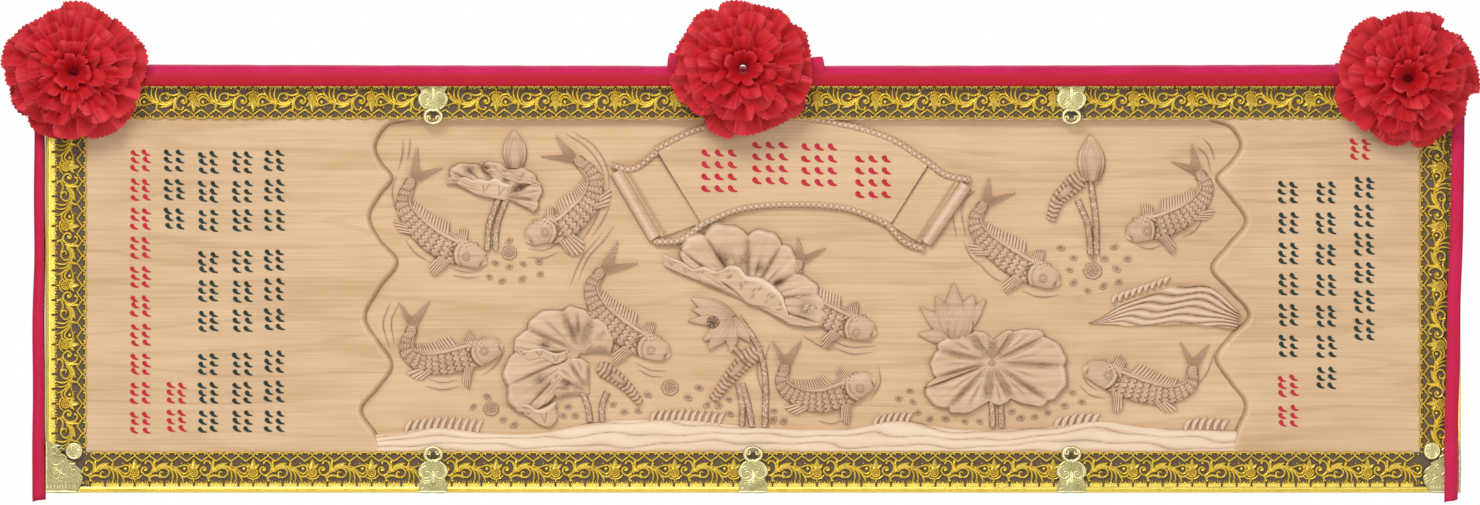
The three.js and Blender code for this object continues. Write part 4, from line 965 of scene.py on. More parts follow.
stems = [[[499, 197], [489, 225], [487, 250]], [[506, 199], [497, 225], [495, 250]],
         [[583, 393], [588, 408], [590, 422]], [[607, 392], [602, 406], [602, 422]],
         [[738, 316], [757, 345], [765, 375], [765, 427]], [[735, 322], [730, 340], [740, 355]],
         [[742, 384], [747, 400], [752, 427]], [[738, 384], [742, 405], [742, 427]],
         [[992, 400], [993, 427]], [[1001, 400], [1002, 427]], [[1091, 181], [1096, 220], [1097, 254]],
         [[1078, 200], [1088, 225], [1091, 254]]]
pods = [([[598, 366], [614, 376], [628, 388], [640, 403]], 12.0),
        ([[757, 350], [741, 365], [728, 380], [713, 400]], 13.5),
        ([[1082, 176], [1070, 188], [1058, 200], [1051, 220]], 14.0)]
stemForm = {"half": 4.25, "rise": 5.2, "dots": 0.16}


def stemShape(path, dice):
    line = lineThrough(onPanel(path))
    s = np.linspace(0, 1, max(12, int(line["length"] / 1.5)))[:, None]
    t = np.linspace(-1, 1, 9)[None, :]
    height = board["ground"] + 1.0 + (stemForm["rise"] - 1) * np.sqrt(1 - 0.97 * t * t) + 0 * s
    dots = (dice.random(height.shape) < stemForm["dots"]) * (np.abs(t) < 0.9)
    # tint: darker overall, with painted shade growing towards the rounded sides; the raised dots are tinted pale
    tint = 0.34 + 0.5 * np.abs(t) ** 3 - 1.3 * dots
    return reliefPatch(raised(beside(line, s, stemForm["half"] * t), height + 0.45 * dots), None, tint)


# A pod narrows to its tip: slanting ridges along both sides of a smooth round swelling.
def podShape(path, half):
    line = lineThrough(onPanel(path))
    s, t = np.linspace(0, 1, 76)[:, None], np.linspace(-1, 1, 19)[None, :]
    beat = s * line["length"] / 6.2 + 0.35 * np.abs(t)
    ridge = np.abs(np.sin(np.pi * beat)) ** 0.8
    width = half * (1 - 0.55 * s) * (0.9 + 0.12 * ridge) * (0.62 + 0.38 * smoothStep(s, 0, 0.14))
    smooth = bump(s, 0.42, 0.17) * (1 - smoothStep(np.abs(t), 0.3, 0.62))
    dome = leafForm["rise"] * (1 - 0.3 * s) * (0.3 + 0.7 * np.sqrt(np.clip(1 - t * t, 0, 1)))
    height = board["ground"] + dome * mix(0.62, 1, smoothStep(s, 0,
                                                              0.08)) + 2.1 * (1 - smooth) * (ridge - 0.6)
    height = height + 1.6 * smooth - 1.1 * bump(smooth, 0.4, 0.25)
    # painted highlight on the ridges, painted shade between them and round the smooth swelling
    tint = (1 - smooth) * (0.95 - 1.35 * ridge) + 0.6 * bump(smooth, 0.4, 0.25) + 0.15
    return reliefPatch(raised(beside(line, s, width * t), height), None, tint)


dotDice = np.random.default_rng(17)
# tints: a dark flat disc and dark rims among the seeds as painted shade; painted highlights on the raised rings of the
# heart and painted shade in its dips
seedHead = [turnedDisc(onPanel([713 + 5 * np.cos(a), 322 + 4 * np.sin(a)]),
                       [(0, 2.2), (1.2, 1.8), (2.2, 0)],
                       board["ground"] + 7.2, 8, tints=[0.3, 0.5, 1]) for a in np.arange(7) * tau / 7]
seedHead.append(turnedDisc(onPanel([713, 322]), [(0, 0), (5, 0.2), (8, 0)], board["ground"] + 7.4, 14,
                           tints=[1, 1, 1]))
heart = turnedDisc(onPanel([992, 363]), [(0, 3.2), (1.6, 2.6), (2.4, 1.4), (3.4, 2.3), (4.4, 1.2),
                                         (5.2, 0)],
                   board["ground"] + 4.6, 14, tints=[-0.4, 0.2, 0.8, -0.3, 0.2, 0.8])
leafPieces = [leafShape(leaf) for leaf in leaves] + [lipShape(*lip) for lip in lips]
growth = [shape for flower in flowers for shape in flowerShapes(flower)]
growth += [shape for bud in buds for shape in budShapes(bud)] + seedHead + [heart]
growth += [stemShape(path, dotDice) for path in stems] + [podShape(*pod) for pod in pods]
makePiece("lotus_leaves", leafPieces, leafWood, ["plaque_board"])
makePiece("lotus_growth", growth, figureWood, ["plaque_board"])
print("lotus ready")


# the scroll banner: a bowed panel with four groups of strokes, flaps, rolled ends and rope edges

banner = {"rise": 6.0, "rope": 4.6, "ropeRise": 8.4, "lattice": 7.4, "rollHalf": 9.0, "rollRise": 9.5,
          "strokeLength": 7.2, "strokeHalf": 3.2, "groupWidth": 41.0, "groupHeight": 50.0}
bannerTop = [[656, 149], [700, 129], [793, 118], [886, 137], [929, 163]]
bannerFoot = [[702, 224], [740, 209], [796, 204], [850, 209], [890, 225]]
ropes = [bannerTop, bannerFoot, [[611, 165], [632, 169], [657, 152]], [[654, 242], [680, 240], [704, 223]],
         [[929, 163], [946, 175], [970, 180]], [[888, 225], [905, 242], [924, 249]]]
rolls = [[[616, 172], [655, 238]], [[966, 185], [926, 243]]]
flaps = [([[657, 152], [703, 222]], [[622, 170], [661, 237]]),
         ([[929, 163], [889, 224]], [[960, 181], [920, 243]])]


def bannerStrokes(dice):  # bold comma strokes, all leaning one way, with room between them
    strokes = []
    for x, y in inscription["banner"]:
        for column in (-1, 0, 1):
            for row in (-1.5, -0.5, 0.5, 1.5):
                place = np.array([x + column * banner["groupWidth"] / 3.1,
                                  y + row * banner["groupHeight"] / 4.2])
                turn = inscription["lean"] + dice.uniform(-0.1, 0.1)
                t = np.linspace(0, 1, 11)
                run = np.stack([(t - 0.5) * banner["strokeLength"], 0.8 * np.sin(tau * 0.6 * t)], axis=1)
                c, s = np.cos(turn), np.sin(turn)
                spots = onPanel(place + run @ np.array([[c, s], [-s, c]]))
                strokes.append({"spots": spots, "half": banner["strokeHalf"] * (0.4 + 0.7 * (1 - t) ** 1.2),
                                "red": 1})
    return strokes


def bannerPanel(dice):
    top, foot = lineThrough(onPanel(bannerTop)), lineThrough(onPanel(bannerFoot))
    along, rise = np.linspace(0, 1, 150)[:, None, None], np.linspace(0, 1, 70)[None, :, None]
    spots = mix(spotOn(foot, along[..., 0]), spotOn(top, along[..., 0]), rise)
    outside, red = strokeField(spots, bannerStrokes(dice))
    cut, paint, red = paintedCuts(outside, red)
    shape = reliefPatch(raised(spots, board["ground"] + banner["rise"] - 0.8 * cut))
    spare = np.zeros(len(shape["points"]) - paint.size)
    shape["paint"], shape["redShare"] = np.r_[paint.ravel(), spare], np.r_[red.ravel(), spare]
    return shape


def flapShape(near, far):  # dips where it passes behind the panel and rises to its roll
    share, rise = np.linspace(0, 1, 24)[:, None, None], np.linspace(0, 1, 14)[None, :, None]
    near, far = onPanel(near), onPanel(far)
    spots = mix(mix(near[0], far[0], share), mix(near[1], far[1], share), rise)
    level = 2.3 + 2.2 * smoothStep(share, 0, 0.8) + 0.5 * np.sin(share * 9)
    # painted shade where it passes behind the panel and next to its roll
    tint = 0.9 * bump(share, 0.0, 0.07) + 0.5 * bump(share, 0.9, 0.06) + 0 * rise
    return reliefPatch(raised(spots, board["ground"] + (level + 0 * rise)[..., 0]), None, tint[..., 0])


# A rope edge: a rounded band with crossed cuts over it, like a lattice.
def ropeShape(path):
    line = lineThrough(onPanel(path))
    s = np.linspace(0, 1, int(line["length"] / 0.9))[:, None]
    t = np.linspace(-1, 1, 13)[None, :]
    x, y = s * line["length"] / banner["lattice"], 0.5 * t
    cross = np.maximum(bump(np.abs(np.mod(x + y, 1) - 0.5), 0, 0.1),
                       bump(np.abs(np.mod(x - y, 1) - 0.5), 0, 0.1))
    cross = cross * (1 - smoothStep(np.abs(t), 0.8, 0.95))
    dome = 0.5 + 0.5 * np.sqrt(np.clip(1 - t * t, 0, 1))
    height = board["ground"] + banner["ropeRise"] * dome - 1.1 * cross
    # painted shade in the crossed cuts and at the sides, painted highlight on the top
    tint = 0.8 * cross + 0.35 * smoothStep(np.abs(t), 0.75, 1) - 0.45 * (1 - cross) * (np.abs(t) < 0.6)
    return reliefPatch(raised(beside(line, s, banner["rope"] * t), height), None, tint)


def rollShape(path):
    start, end = onPanel(path)
    share = np.linspace(0, 1, 30)[:, None]
    heading = (end - start) / np.linalg.norm(end - start)
    normal = np.array([-heading[1], heading[0]])
    t = np.linspace(-1, 1, 15)[None, :]
    spots = start + (end - start) * share[..., None] + normal * (t * banner["rollHalf"])[..., None]
    height = board["ground"] + banner["rollRise"] * (0.35 + 0.65 * np.sqrt(np.clip(1 - t * t, 0,
                                                                                   1))) + 0 * share
    # painted shade at the sides, painted highlight along the crest
    tint = 0.75 * smoothStep(np.abs(t), 0.8, 1) - 0.5 * bump(t, -0.15, 0.35) + 0 * share
    return reliefPatch(raised(spots, height), None, tint)


bannerDice = np.random.default_rng(23)
makePiece("banner", [bannerPanel(bannerDice)] + [flapShape(*flap) for flap in flaps], bannerWood,
          ["plaque_board"])

# rock bank, seabed, grass, pebbles, open flowers and lines of water

bank = {"crest": [[1089, 323], [1104, 316], [1122, 303], [1150, 294], [1180, 286], [1208, 286],
                  [1240, 312]],
        "foot": [[1089, 324], [1110, 325], [1135, 326], [1160, 325], [1185, 324], [1210, 326], [1237, 329]],
        "rise": (3.0, 9.0)}
seabedCrest = [[354, 436], [400, 433], [430, 428], [500, 434], [550, 432], [590, 423], [640, 420],
               [690, 421],
               [760, 428], [850, 429], [900, 421], [960, 430], [1040, 428], [1100, 422], [1150, 428],
               [1256, 431]]
tufts = [([404, 430], [482, 430], 19, 11), ([650, 419], [724, 422], 17, 11),
         ([873, 424], [912, 420], 14, 6),
         ([1054, 425], [1099, 421], 14, 6), ([1184, 427], [1228, 427], 14, 6)]
smallFlowers = [[509, 253, 10], [491, 409, 10], [670, 388, 11], [1093, 271, 12]]
pebbles = [[495, 263], [509, 267], [523, 264], [539, 262], [489, 277], [502, 281], [522, 279], [540, 274],
           [509, 241], [487, 397], [473, 407], [503, 420], [514, 425], [568, 407], [563, 416], [575, 416],
           [613, 405], [624, 412], [638, 411], [648, 395], [699, 388], [688, 398], [707, 405], [719, 406],
           [729, 400], [730, 414], [774, 411], [773, 420], [784, 421], [899, 399], [910, 391], [913, 402],
           [918, 413], [930, 419], [946, 419], [965, 422], [980, 422], [1012, 412], [1021, 418],
           [1035, 417],
           [1048, 413], [1065, 406], [1073, 393], [1082, 402], [1061, 248], [1074, 258], [1093, 258],
           [1105, 259], [1070, 270], [1117, 269], [1074, 283], [1088, 291], [1104, 286], [1119, 282],
           [1115, 247], [1128, 259]]
waterLines = [
    [[403, 140], [402, 155], [398, 170]], [[410, 138], [409, 150], [407, 160]],
              [[396, 175], [392, 192], [395, 210]],
    [[405, 240], [416, 254], [431, 263]], [[450, 268], [464, 272], [478, 272]],
              [[452, 275], [466, 278], [480, 277]],
    [[565, 133], [585, 146], [600, 165], [606, 186]], [[572, 131], [594, 146], [607, 168], [609, 190]],
    [[602, 205], [594, 222], [582, 240]], [[610, 205], [603, 220], [592, 236]],
              [[528, 249], [545, 250], [560, 243]],
    [[527, 257], [544, 258], [559, 252]], [[578, 280], [588, 258], [604, 240], [614, 226]],
    [[570, 285], [582, 258], [600, 236]], [[635, 363], [650, 370], [666, 371]],
              [[637, 369], [650, 376], [662, 377]],
    [[398, 304], [391, 322], [394, 344]], [[390, 302], [383, 324], [389, 347]],
              [[428, 379], [442, 383], [457, 380]],
    [[425, 386], [442, 390], [460, 386]], [[481, 376], [495, 366], [505, 351]],
              [[802, 335], [818, 345], [836, 351]],
    [[830, 340], [850, 347], [876, 346]], [[832, 347], [852, 354], [874, 352]],
              [[770, 342], [764, 368], [770, 396]],
    [[763, 345], [757, 370], [764, 398]], [[879, 366], [880, 384], [871, 400]],
              [[818, 421], [832, 424], [846, 419]],
    [[962, 216], [965, 201], [976, 190]], [[970, 186], [962, 208], [966, 238]],
              [[958, 190], [953, 212], [957, 238]],
    [[963, 240], [972, 258], [986, 268]], [[978, 262], [990, 275], [1003, 283]],
              [[1022, 291], [1040, 297], [1061, 295]],
    [[1203, 138], [1211, 147], [1215, 161]], [[1197, 146], [1207, 156], [1211, 171]],
              [[1138, 246], [1150, 249], [1164, 244]],
    [[1082, 374], [1088, 384], [1098, 391]], [[1080, 385], [1090, 395], [1106, 399]],
              [[1205, 215], [1196, 230], [1182, 238]],
    [[1215, 350], [1208, 372], [1196, 388]]]


# Strata run along the bank from its point: ridges with hollows between, swaying a little; the tint paints highlights on
# the ridges and shade in the hollows, at the foot and at the end.
def rockBank():
    crest, foot = lineThrough(onPanel(bank["crest"])), lineThrough(onPanel(bank["foot"]))
    s, down = np.linspace(0, 1, 110)[:, None], np.linspace(0, 1, 46)[None, :]
    spots = mix(spotOn(crest, s), spotOn(foot, s), down[..., None])
    phase = down * 5.4 + 0.55 * np.sin(s * 6 + 1.5 * down) + 0.25 * np.sin(s * 17 + 5 * down) + 0.4 * s
    wave = np.abs(np.sin(np.pi * phase)) ** 0.7
    rise = mix(*bank["rise"], np.sin(tau / 4 * s))
    height = board["ground"] + rise * (1 - 0.35 * down) * mix(0.52, 1.08, wave)
    tint = 0.95 - 1.55 * wave + 0.3 * (down > 0.98) + 0.25 * smoothStep(s, 0.95, 1)
    return reliefPatch(raised(spots, height), None, tint)


def seabed():  # swells of pale sand climb from the ground to the face of the board
    crest = lineThrough(onPanel(seabedCrest))
    s, down = np.linspace(0, 1, 260)[:, None], np.linspace(0, 1, 30)[None, :]
    high = spotOn(crest, s)
    low = np.stack([high[..., 0], np.full(s.shape, -216.5)], axis=-1)
    spots = mix(high, low, down[..., None])
    u = spots[..., 0]
    phase = down * 3.0 + 0.3 * np.sin(u / 62 + 2 * down) + 0.16 * np.sin(u / 23 + 7 * down) + 0.1 * np.sin(u / 11)
    swell = np.abs(np.sin(np.pi * phase)) ** 0.6
    level = np.interp(down, [0, 0.12, 0.5, 1], [0.3, 0.62, 0.8, 0.99])
    height = board["ground"] + 11.0 * level + 1.3 * (swell - 1) * (down < 0.98)
    # painted shade in the troughs and along the top edge, painted highlight on the crests
    tint = 0.85 * (1 - swell) ** 1.4 - 0.75 * swell * (1 - 0.5 * down) + 0.5 * (down < 0.02)
    return reliefPatch(raised(spots, height), None, tint)


def bladeShape(foot, tip, half):  # one fat slanting blade, light on its back
    share, across = np.linspace(0, 1, 12)[:, None], np.linspace(-1, 1, 7)[None, :]
    foot, tip = np.asarray(foot, float), np.asarray(tip, float)
    heading = (tip - foot) / np.linalg.norm(tip - foot)
    normal = np.array([-heading[1], heading[0]])
    lean = (tip - foot) * share[..., None] + normal * (2.2 * np.sin(np.pi * share))[..., None]
    width = half * np.sin(np.pi * mix(0.2, 1, share)) ** 0.7 + 0.1
    spots = foot + lean + normal * (width * across)[..., None]
    height = board["ground"] + (5.4 - 1.6 * share) * (0.35 + 0.65 * np.sqrt(np.clip(1 - across**2, 0, 1)))
    # painted highlight along the middle of the blade, painted shade at its sides
    return reliefPatch(raised(spots, height), None,
                       0.85 * smoothStep(np.abs(across), 0.6, 1) - 0.5 + 0 * share)


def tuftShapes(start, end, tall, blades):
    start, end = onPanel(start), onPanel(end)
    shapes = []
    for k in range(blades):
        share = (k + 0.5) / blades
        foot = mix(start, end, share) + (-0.28 * (end[0] - start[0]) / blades, -4)
        height = tall * (0.72 + 0.28 * np.sin(np.pi * share))
        tip = foot + (1.0 * (end[0] - start[0]) / blades, height + 3)
        shapes.append(bladeShape(foot, tip, 0.36 * np.linalg.norm(end - start) / blades))
    return shapes


def openFlower(x, y, radius):  # a low rosette of seven petals with a star at its middle
    spokes = np.linspace(0, tau, 56, endpoint=False)
    rings = np.linspace(0, 1, 9)[1:]
    lobes = 1 + 0.14 * np.abs(np.sin(3.5 * spokes)) ** 0.6
    reach = radius * 0.97 * rings[:, None] * mix(1, lobes[None] - 0.06, rings[:, None])
    spots = onPanel([x, y]) + np.stack([np.cos(spokes) * reach, 0.9 * np.sin(spokes) * reach], axis=-1)
    star = np.abs(np.sin(3.5 * spokes))[None] * bump(rings[:, None], 0.35, 0.25)
    rim = bump(rings[:, None], 0.86, 0.13)
    height = board["ground"] + 1.0 + 1.7 * rim + 0.9 * star - 0.7 * (rings[:, None] > 0.98)
    # painted highlight on the rim and the star, painted shade on the rest of the petals and at the outer edge
    tint = 0.75 - 1.0 * rim - 0.6 * star + 0.5 * (rings[:, None] > 0.98)
    return reliefDisc([*onPanel([x, y]), board["ground"] + 1.9], raised(spots, height), None, tint, 0.2)


def pebble(x, y, dice):  # an oval ring round a low middle
    turn, size = dice.uniform(-0.5, 0.7), dice.uniform(0.86, 1.08)
    # tints paint shade inside the ring and at its foot, and a highlight on the ring
    profile = [(0, 0.7), (2.3, 0.55), (3.4, 1.7), (4.4, 1.7), (5.1, 0.1)]
    return turnedDisc(onPanel([x, y]), np.array(profile) * (size, 1), board["ground"], 14, (1.08, 0.72),
                      turn,
                      tints=[0.28, 0.95, -0.1, 0.15, 1.0])


def waterLine(path):  # a fine cut: two thin lips with a dark line between them
    line = lineThrough(onPanel(path), 12)
    share = np.linspace(0, 1, max(14, int(line["length"] / 2.2)))
    fade = np.sin(np.pi * np.clip(share, 0.02, 0.98)) ** 0.5
    offsets = np.array([-2.2, -1.0, -0.45, 0.0, 0.45, 1.0, 2.2])
    spots = beside(line, share[:, None], offsets[None] * fade[:, None])
    lift = np.array([-0.55, 0.3, 0.1, -0.25, 0.1, 0.3, -0.55])[None] * fade[:, None]
    # painted shade in the cut, painted highlight on the lips
    tint = np.array([0.0, -0.25, 0.55, 1.0, 0.55, -0.2, 0.0])[None] * fade[:, None]
    return reliefPatch(raised(spots, board["ground"] + 0.25 + lift), board["sunk"], tint)


pebbleDice = np.random.default_rng(29)
scenery = [rockBank()] + [ropeShape(path) for path in ropes] + [rollShape(path) for path in rolls]
scenery += [shape for tuft in tufts for shape in tuftShapes(*tuft)]
scenery += [bladeShape(onPanel([1113 + 6.5 * k, 303 - 2.4 * k]), onPanel([1119 + 6.5 * k, 294 - 2.2 * k]),
                       3.4)
            for k in range(9)]
scenery += [openFlower(*flower) for flower in smallFlowers]
scenery += [pebble(x, y, pebbleDice) for x, y in pebbles] + [waterLine(path) for path in waterLines]
makePiece("scenery", scenery, figureWood, ["plaque_board"])
makePiece("seabed", [seabed()], sandWood, ["plaque_board"])
print("scenery ready")


# pierced gilt edging: one period of the pattern, drawn along (a) and inward from the outer edge (q)

edging = {"width": 1818.0, "height": 533.0, "back": 36.3, "face": 37.5,
          "wider": 1.3, "period": 76.1, "heart": 19.025, "joints": [-411.0, 0.0, 409.0],
          "gap": 0.15}
edgingFlowers = {
    "long": [[-794.3, -718.6, -642.1, -566.2, -490.1], [-329.9, -253.5, -177.1, -100.7, -24.7],
             [82.2, 157.7, 233.2, 309.6, 385.6], [488.3, 563.9, 639.5, 714.7, 789.6]],
    "side": [-152.2, -76.1, 0.0, 76.1, 152.2],
}
vines = {  # wires of the pattern: spots, half width and rise
    "podLeaf": ([(-28.5, 34.5), (-22.9, 32.6), (-18.8, 33.4), (-14.8, 34.9), (-9.8, 35.4), (-6.8, 32.4),
                 (-7.4, 27.6), (-11.5, 24.4), (-15.8, 26.0), (-19.7, 29.4), (-24.5, 32.0)], 1.35, 2.6),
    "podCurl": ([(-17.5, 23.0), (-14.4, 21.2), (-10.7, 20.6), (-7.2, 22.4), (-5.6, 25.0)], 1.5, 2.5),
    "scroll": ([(13.4, 37.6), (14.6, 40.4), (18.8, 40.6), (22.6, 36.8), (23.4, 31.0), (20.6, 25.2),
                (15.6, 22.3),
                (10.9, 24.1), (8.7, 28.2), (10.0, 31.8), (13.3, 33.0), (15.9, 30.6), (14.9, 28.2)], 1.5,
               3.0),
    "stalk": ([(24.6, 41.5), (25.6, 36.0), (25.0, 30.0), (23.5, 25.0)], 1.5, 2.3),
    "vine": ([(25.4, 27.0), (28.7, 31.4), (34.4, 33.8), (42.6, 33.4), (48.4, 30.8), (51.6, 28.0)], 1.9,
             2.8),
    "hook": ([(27.6, 26.6), (33.0, 31.0), (39.6, 31.4), (43.6, 27.8), (43.0, 23.2), (39.0, 20.0),
              (34.8, 20.2),
              (32.6, 23.0), (32.4, 26.0), (35.0, 27.0), (36.6, 25.4)], 1.35, 2.7),
    "featherOne": ([(44.8, 31.0), (48.6, 25.5), (48.8, 19.0), (47.4, 13.6)], 1.3, 2.3),
    "featherTwo": ([(48.6, 30.8), (53.6, 24.6), (54.6, 18.2), (53.6, 14.0)], 1.2, 2.1),
    "featherThree": ([(50.4, 31.4), (56.8, 25.6), (61.0, 19.4), (62.6, 15.0)], 1.4, 2.4),
    "arch": ([(17.6, 17.4), (20.4, 20.6), (25.6, 22.4), (30.4, 21.6), (34.2, 19.0)], 1.6, 2.3),
    "archFoot": ([(15.4, 22.0), (18.6, 19.2), (18.9, 14.4)], 1.3, 2.2),
    "leftFoot": ([(-8.4, 21.4), (-4.2, 18.4), (0.0, 17.6), (0.0, 13.5)], 1.3, 2.2),
    "rightFoot": ([(9.4, 22.8), (5.0, 18.8), (0.6, 17.6)], 1.3, 2.2),
}
leafs = {  # solid leaves of the pattern: foot, tip, half width and rise
    "frond": ((28.2, 33.0), (44.0, 38.4), 3.2, 2.6), "crown": ((0.0, 30.6), (0.0, 44.2), 3.9, 3.2),
    "crownLeft": ((-1.6, 31.2), (-7.8, 38.0), 2.7, 2.7), "crownRight": ((1.6, 31.2), (8.2, 37.0), 2.8, 2.7),
    "tip": ((24.4, 37.0), (26.4, 42.6), 2.0, 2.6), "back": ((-29.6, 33.0), (-27.0, 41.0), 2.0, 2.6),
}
beads = [(-11.9, 31.0, 2.5, 2.8), (13.6, 38.2, 2.0, 2.8), (13.4, 29.3, 2.3, 2.8), (20.0, 15.8, 1.7, 2.2),
         (-15.6, 37.8, 1.2, 2.0)]
wireSection = np.array([(-1, 0), (-0.5, 0.86), (0.1, 1), (0.62, 0.72), (1, 0)])
# across each wire: painted shade down both sides and a painted highlight on the crest
wireShadeAndHighlight = np.array([0.95, 0.18, -0.4, 0.3, 1.0])


def wireShape(path, half, rise, perSpan=3, closed=False, base=None):
    spots = np.asarray(path, float)
    if closed:
        heading = np.roll(spots, -1, axis=0) - np.roll(spots, 1, axis=0)
    else:
        spots = lineThrough(spots, perSpan)["points"] if len(spots) > 2 else spots
        heading = np.gradient(spots, axis=0)
    heading = heading / np.linalg.norm(heading, axis=1, keepdims=True)
    left = np.stack([-heading[:, 1], heading[:, 0]], axis=1)
    share = np.linspace(0, 1, len(spots))
    fade = np.ones(len(spots)) if closed else 0.72 + 0.28 * np.sin(np.pi * share)
    flat = spots[:, None] + left[:, None] * (wireSection[None, :, :1] * half * edging["wider"] * fade[:,
                                                                                                      None,
                                                                                                      None])
    low = edging["back"] if base is None else base
    points = raised(flat, low + wireSection[None, :,
                                            1] * (rise * fade[:, None] + edging["face"] - edging["back"]))
    count, size = points.shape[:2]
    groups = [(gridQuads(count, size, closedRows=closed, closedColumns=True), True)]
    if not closed:
        groups.append((np.stack([np.arange(size), np.arange(size)[::-1] + (count - 1) * size]), False))
    return shapeOf(points, groups, np.broadcast_to(wireShadeAndHighlight, (count, size)).ravel())


def beadShape(a, q, radius, rise, sides=8, base=None):
    low = edging["back"] if base is None else base
    top = edging["face"] - edging["back"] + rise
    profile = [(0, top), (0.62 * radius, 0.8 * top), (radius, 0.3 * top)]
    # tints: painted highlight on top, painted shade at the foot
    return turnedDisc((a, q), profile, low, sides, floor=low, tints=[-0.7, -0.1, 1.0])


def leafletShape(foot, tip, half, rise, base=None):
    foot, tip = np.asarray(foot, float), np.asarray(tip, float)
    share, across = np.linspace(0, 1, 6)[:, None], np.array([-1, -0.5, 0, 0.5, 1])[None, :]
    heading = (tip - foot) / np.linalg.norm(tip - foot)
    normal = np.array([-heading[1], heading[0]])
    width = half * np.sin(np.pi * mix(0.18, 1, share)) ** 0.8 + 0.12
    spots = foot + (tip - foot) * share[..., None] + normal * (width * across)[..., None]
    low = edging["back"] if base is None else base
    top = edging["face"] - edging["back"] + rise
    height = low + top * (1 - 0.3 * share) * np.array([0.35, 0.95, 0.7, 0.95, 0.35])
    # tints: painted shade at the edges and along the middle groove, painted highlight on both halves
    tint = np.array([1.0, -0.35, 0.55, -0.35, 1.0]) + 0 * share
    return reliefPatch(raised(spots, height), low, tint)


def ringSpots(a, q, radius, count, squash=1.0):
    angle = tau * np.arange(count) / count
    return np.stack([a + radius * np.cos(angle), q + radius * squash * np.sin(angle)], axis=1)


def flowerMotif():
    # the flat disc inside the rings is tinted dark: painted shade in the middle of the boss
    parts = [wireShape(ringSpots(0, 25.9, 5.2, 14), 1.25, 2.8, closed=True),
             wireShape(ringSpots(0, 25.9, 2.7, 10), 0.8, 3.1, closed=True), beadShape(0, 25.9, 1.2, 2.2, 6),
             turnedDisc((0, 25.9), [(0, 1.0), (2, 1.0), (4.6, 1.0)], edging["back"], 12,
                        floor=edging["back"],
                        tints=[0.8, 0.9, 0.7])]
    parts += [leafletShape(*leaf) for leaf in leafs.values()]
    parts += [wireShape(*vine) for vine in vines.values()]
    return parts + [beadShape(*bead) for bead in beads]


def heartMotif():  # one heart of the lattice, its two curled beads, and the comb tooth outside it
    half = edging["heart"] / 2
    parts = [wireShape([(-half, 47.4), (0, 40.6), (half, 47.4)], 1.45, 2.4, perSpan=1),
             wireShape([(-half, 47.0), (-half + 1.6, 50.2), (-3.4, 51.7), (3.4, 51.7), (half - 1.6, 50.2),
                        (half, 47.0)], 1.15, 2.2, perSpan=2)]
    parts += [beadShape(side * 4.5, 49.4, 1.55, 2.3, 7) for side in (-1, 1)]
    # the flat diamond of the comb band is tinted fully dark: painted shade standing for an opening
    parts += [beadShape(0, 12.6, 2.2, 2.4, 8), turnedDisc((half, 5.4),
                                                          [(0, 2.66), (1.0, 2.66), (1.55, 2.5)],
                                                          edging["back"], 4, (1, 1.25), tints=[1, 1, 1])]
    parts += [wireShape([(x, 9.5), (x * 0.93, 12.5), (x * 0.86, 15.6)], 0.85, 1.5, perSpan=1)
              for x in (-7.3, -4.4, 4.4, 7.3)]
    # the plate is tinted a little darker: painted shade
    plate = boxShape((-half + 1.35, 6.9, edging["back"]), (half - 1.35, 12.2, edging["face"] + 0.5), 0.12)
    return parts + [plate]


# Rails run the whole length: a bright outer band with a fine groove, and the turned-back edge.
# across, height and tint: painted shade in the groove, on the inner edge and on the turned-back edge, painted highlight
# on the outer band
railSection = [(0.0, 9.5, 0.3), (0.0, 38.9, 0.0), (0.5, 39.4, -0.4), (3.0, 39.5, -0.2), (3.4, 38.7, 0.8),
               (3.9, 38.7, 0.8), (4.3, 39.2, 0.0), (6.6, 39.0, 0.0), (7.8, 38.2, 0.5), (7.9, 36.3, 1.0),
               (1.2, 36.3, 0.8), (1.2, 9.5, 0.5)]


def railShape(start, end, mitreStart, mitreEnd):
    q, w, tint = (np.array(column) for column in zip(*railSection))
    steps = np.linspace(0, 1, 13)[:, None]
    from_, to = start + mitreStart * q, end - mitreEnd * q
    a = from_ + (to - from_) * steps
    points = np.stack([a, np.broadcast_to(q, a.shape), np.broadcast_to(w, a.shape)], axis=-1)
    size = len(q)
    groups = [(gridQuads(len(steps), size, closedColumns=True), False),
              (np.stack([np.arange(size), np.arange(size)[::-1] + (len(steps) - 1) * size]), False)]
    return shapeOf(points, groups, np.broadcast_to(tint, a.shape).ravel())


def edgingLength(name, start, end, mitres, flowerPlaces, half, turn):
    period, heart = edging["period"], edging["heart"]
    motif, lattice = flowerMotif(), heartMotif()
    shapes = [railShape(start, end, *mitres)]

    def keep(shape, at):  # stands the shape at its place, if it lies within the length
        points = shape["points"]
        low, high = (points[:, 0] + at).min(), (points[:, 0] + at).max()
        inside = low > start + 0.2 + mitres[0] * 44 and high < end - 0.2 - mitres[1] * 44
        if inside:
            shapes.append(placed(shape, (at, 0)))

    places = np.array(flowerPlaces)
    extended = np.r_[places[0] - period, places, places[-1] + period]
    for at in extended:
        for part in motif:
            keep(part, at)
    first = places[0] + heart / 2 - heart * np.ceil((places[0] - start) / heart)
    for k in range(int((end - start) / heart) + 2):
        for part in lattice:
            keep(part, first + k * heart)
    shapes = [placed(placed(shape, (0, -half)), (0, 0), turn) for shape in shapes]
    return makePiece(name + "_lace", shapes, gilt, [name])


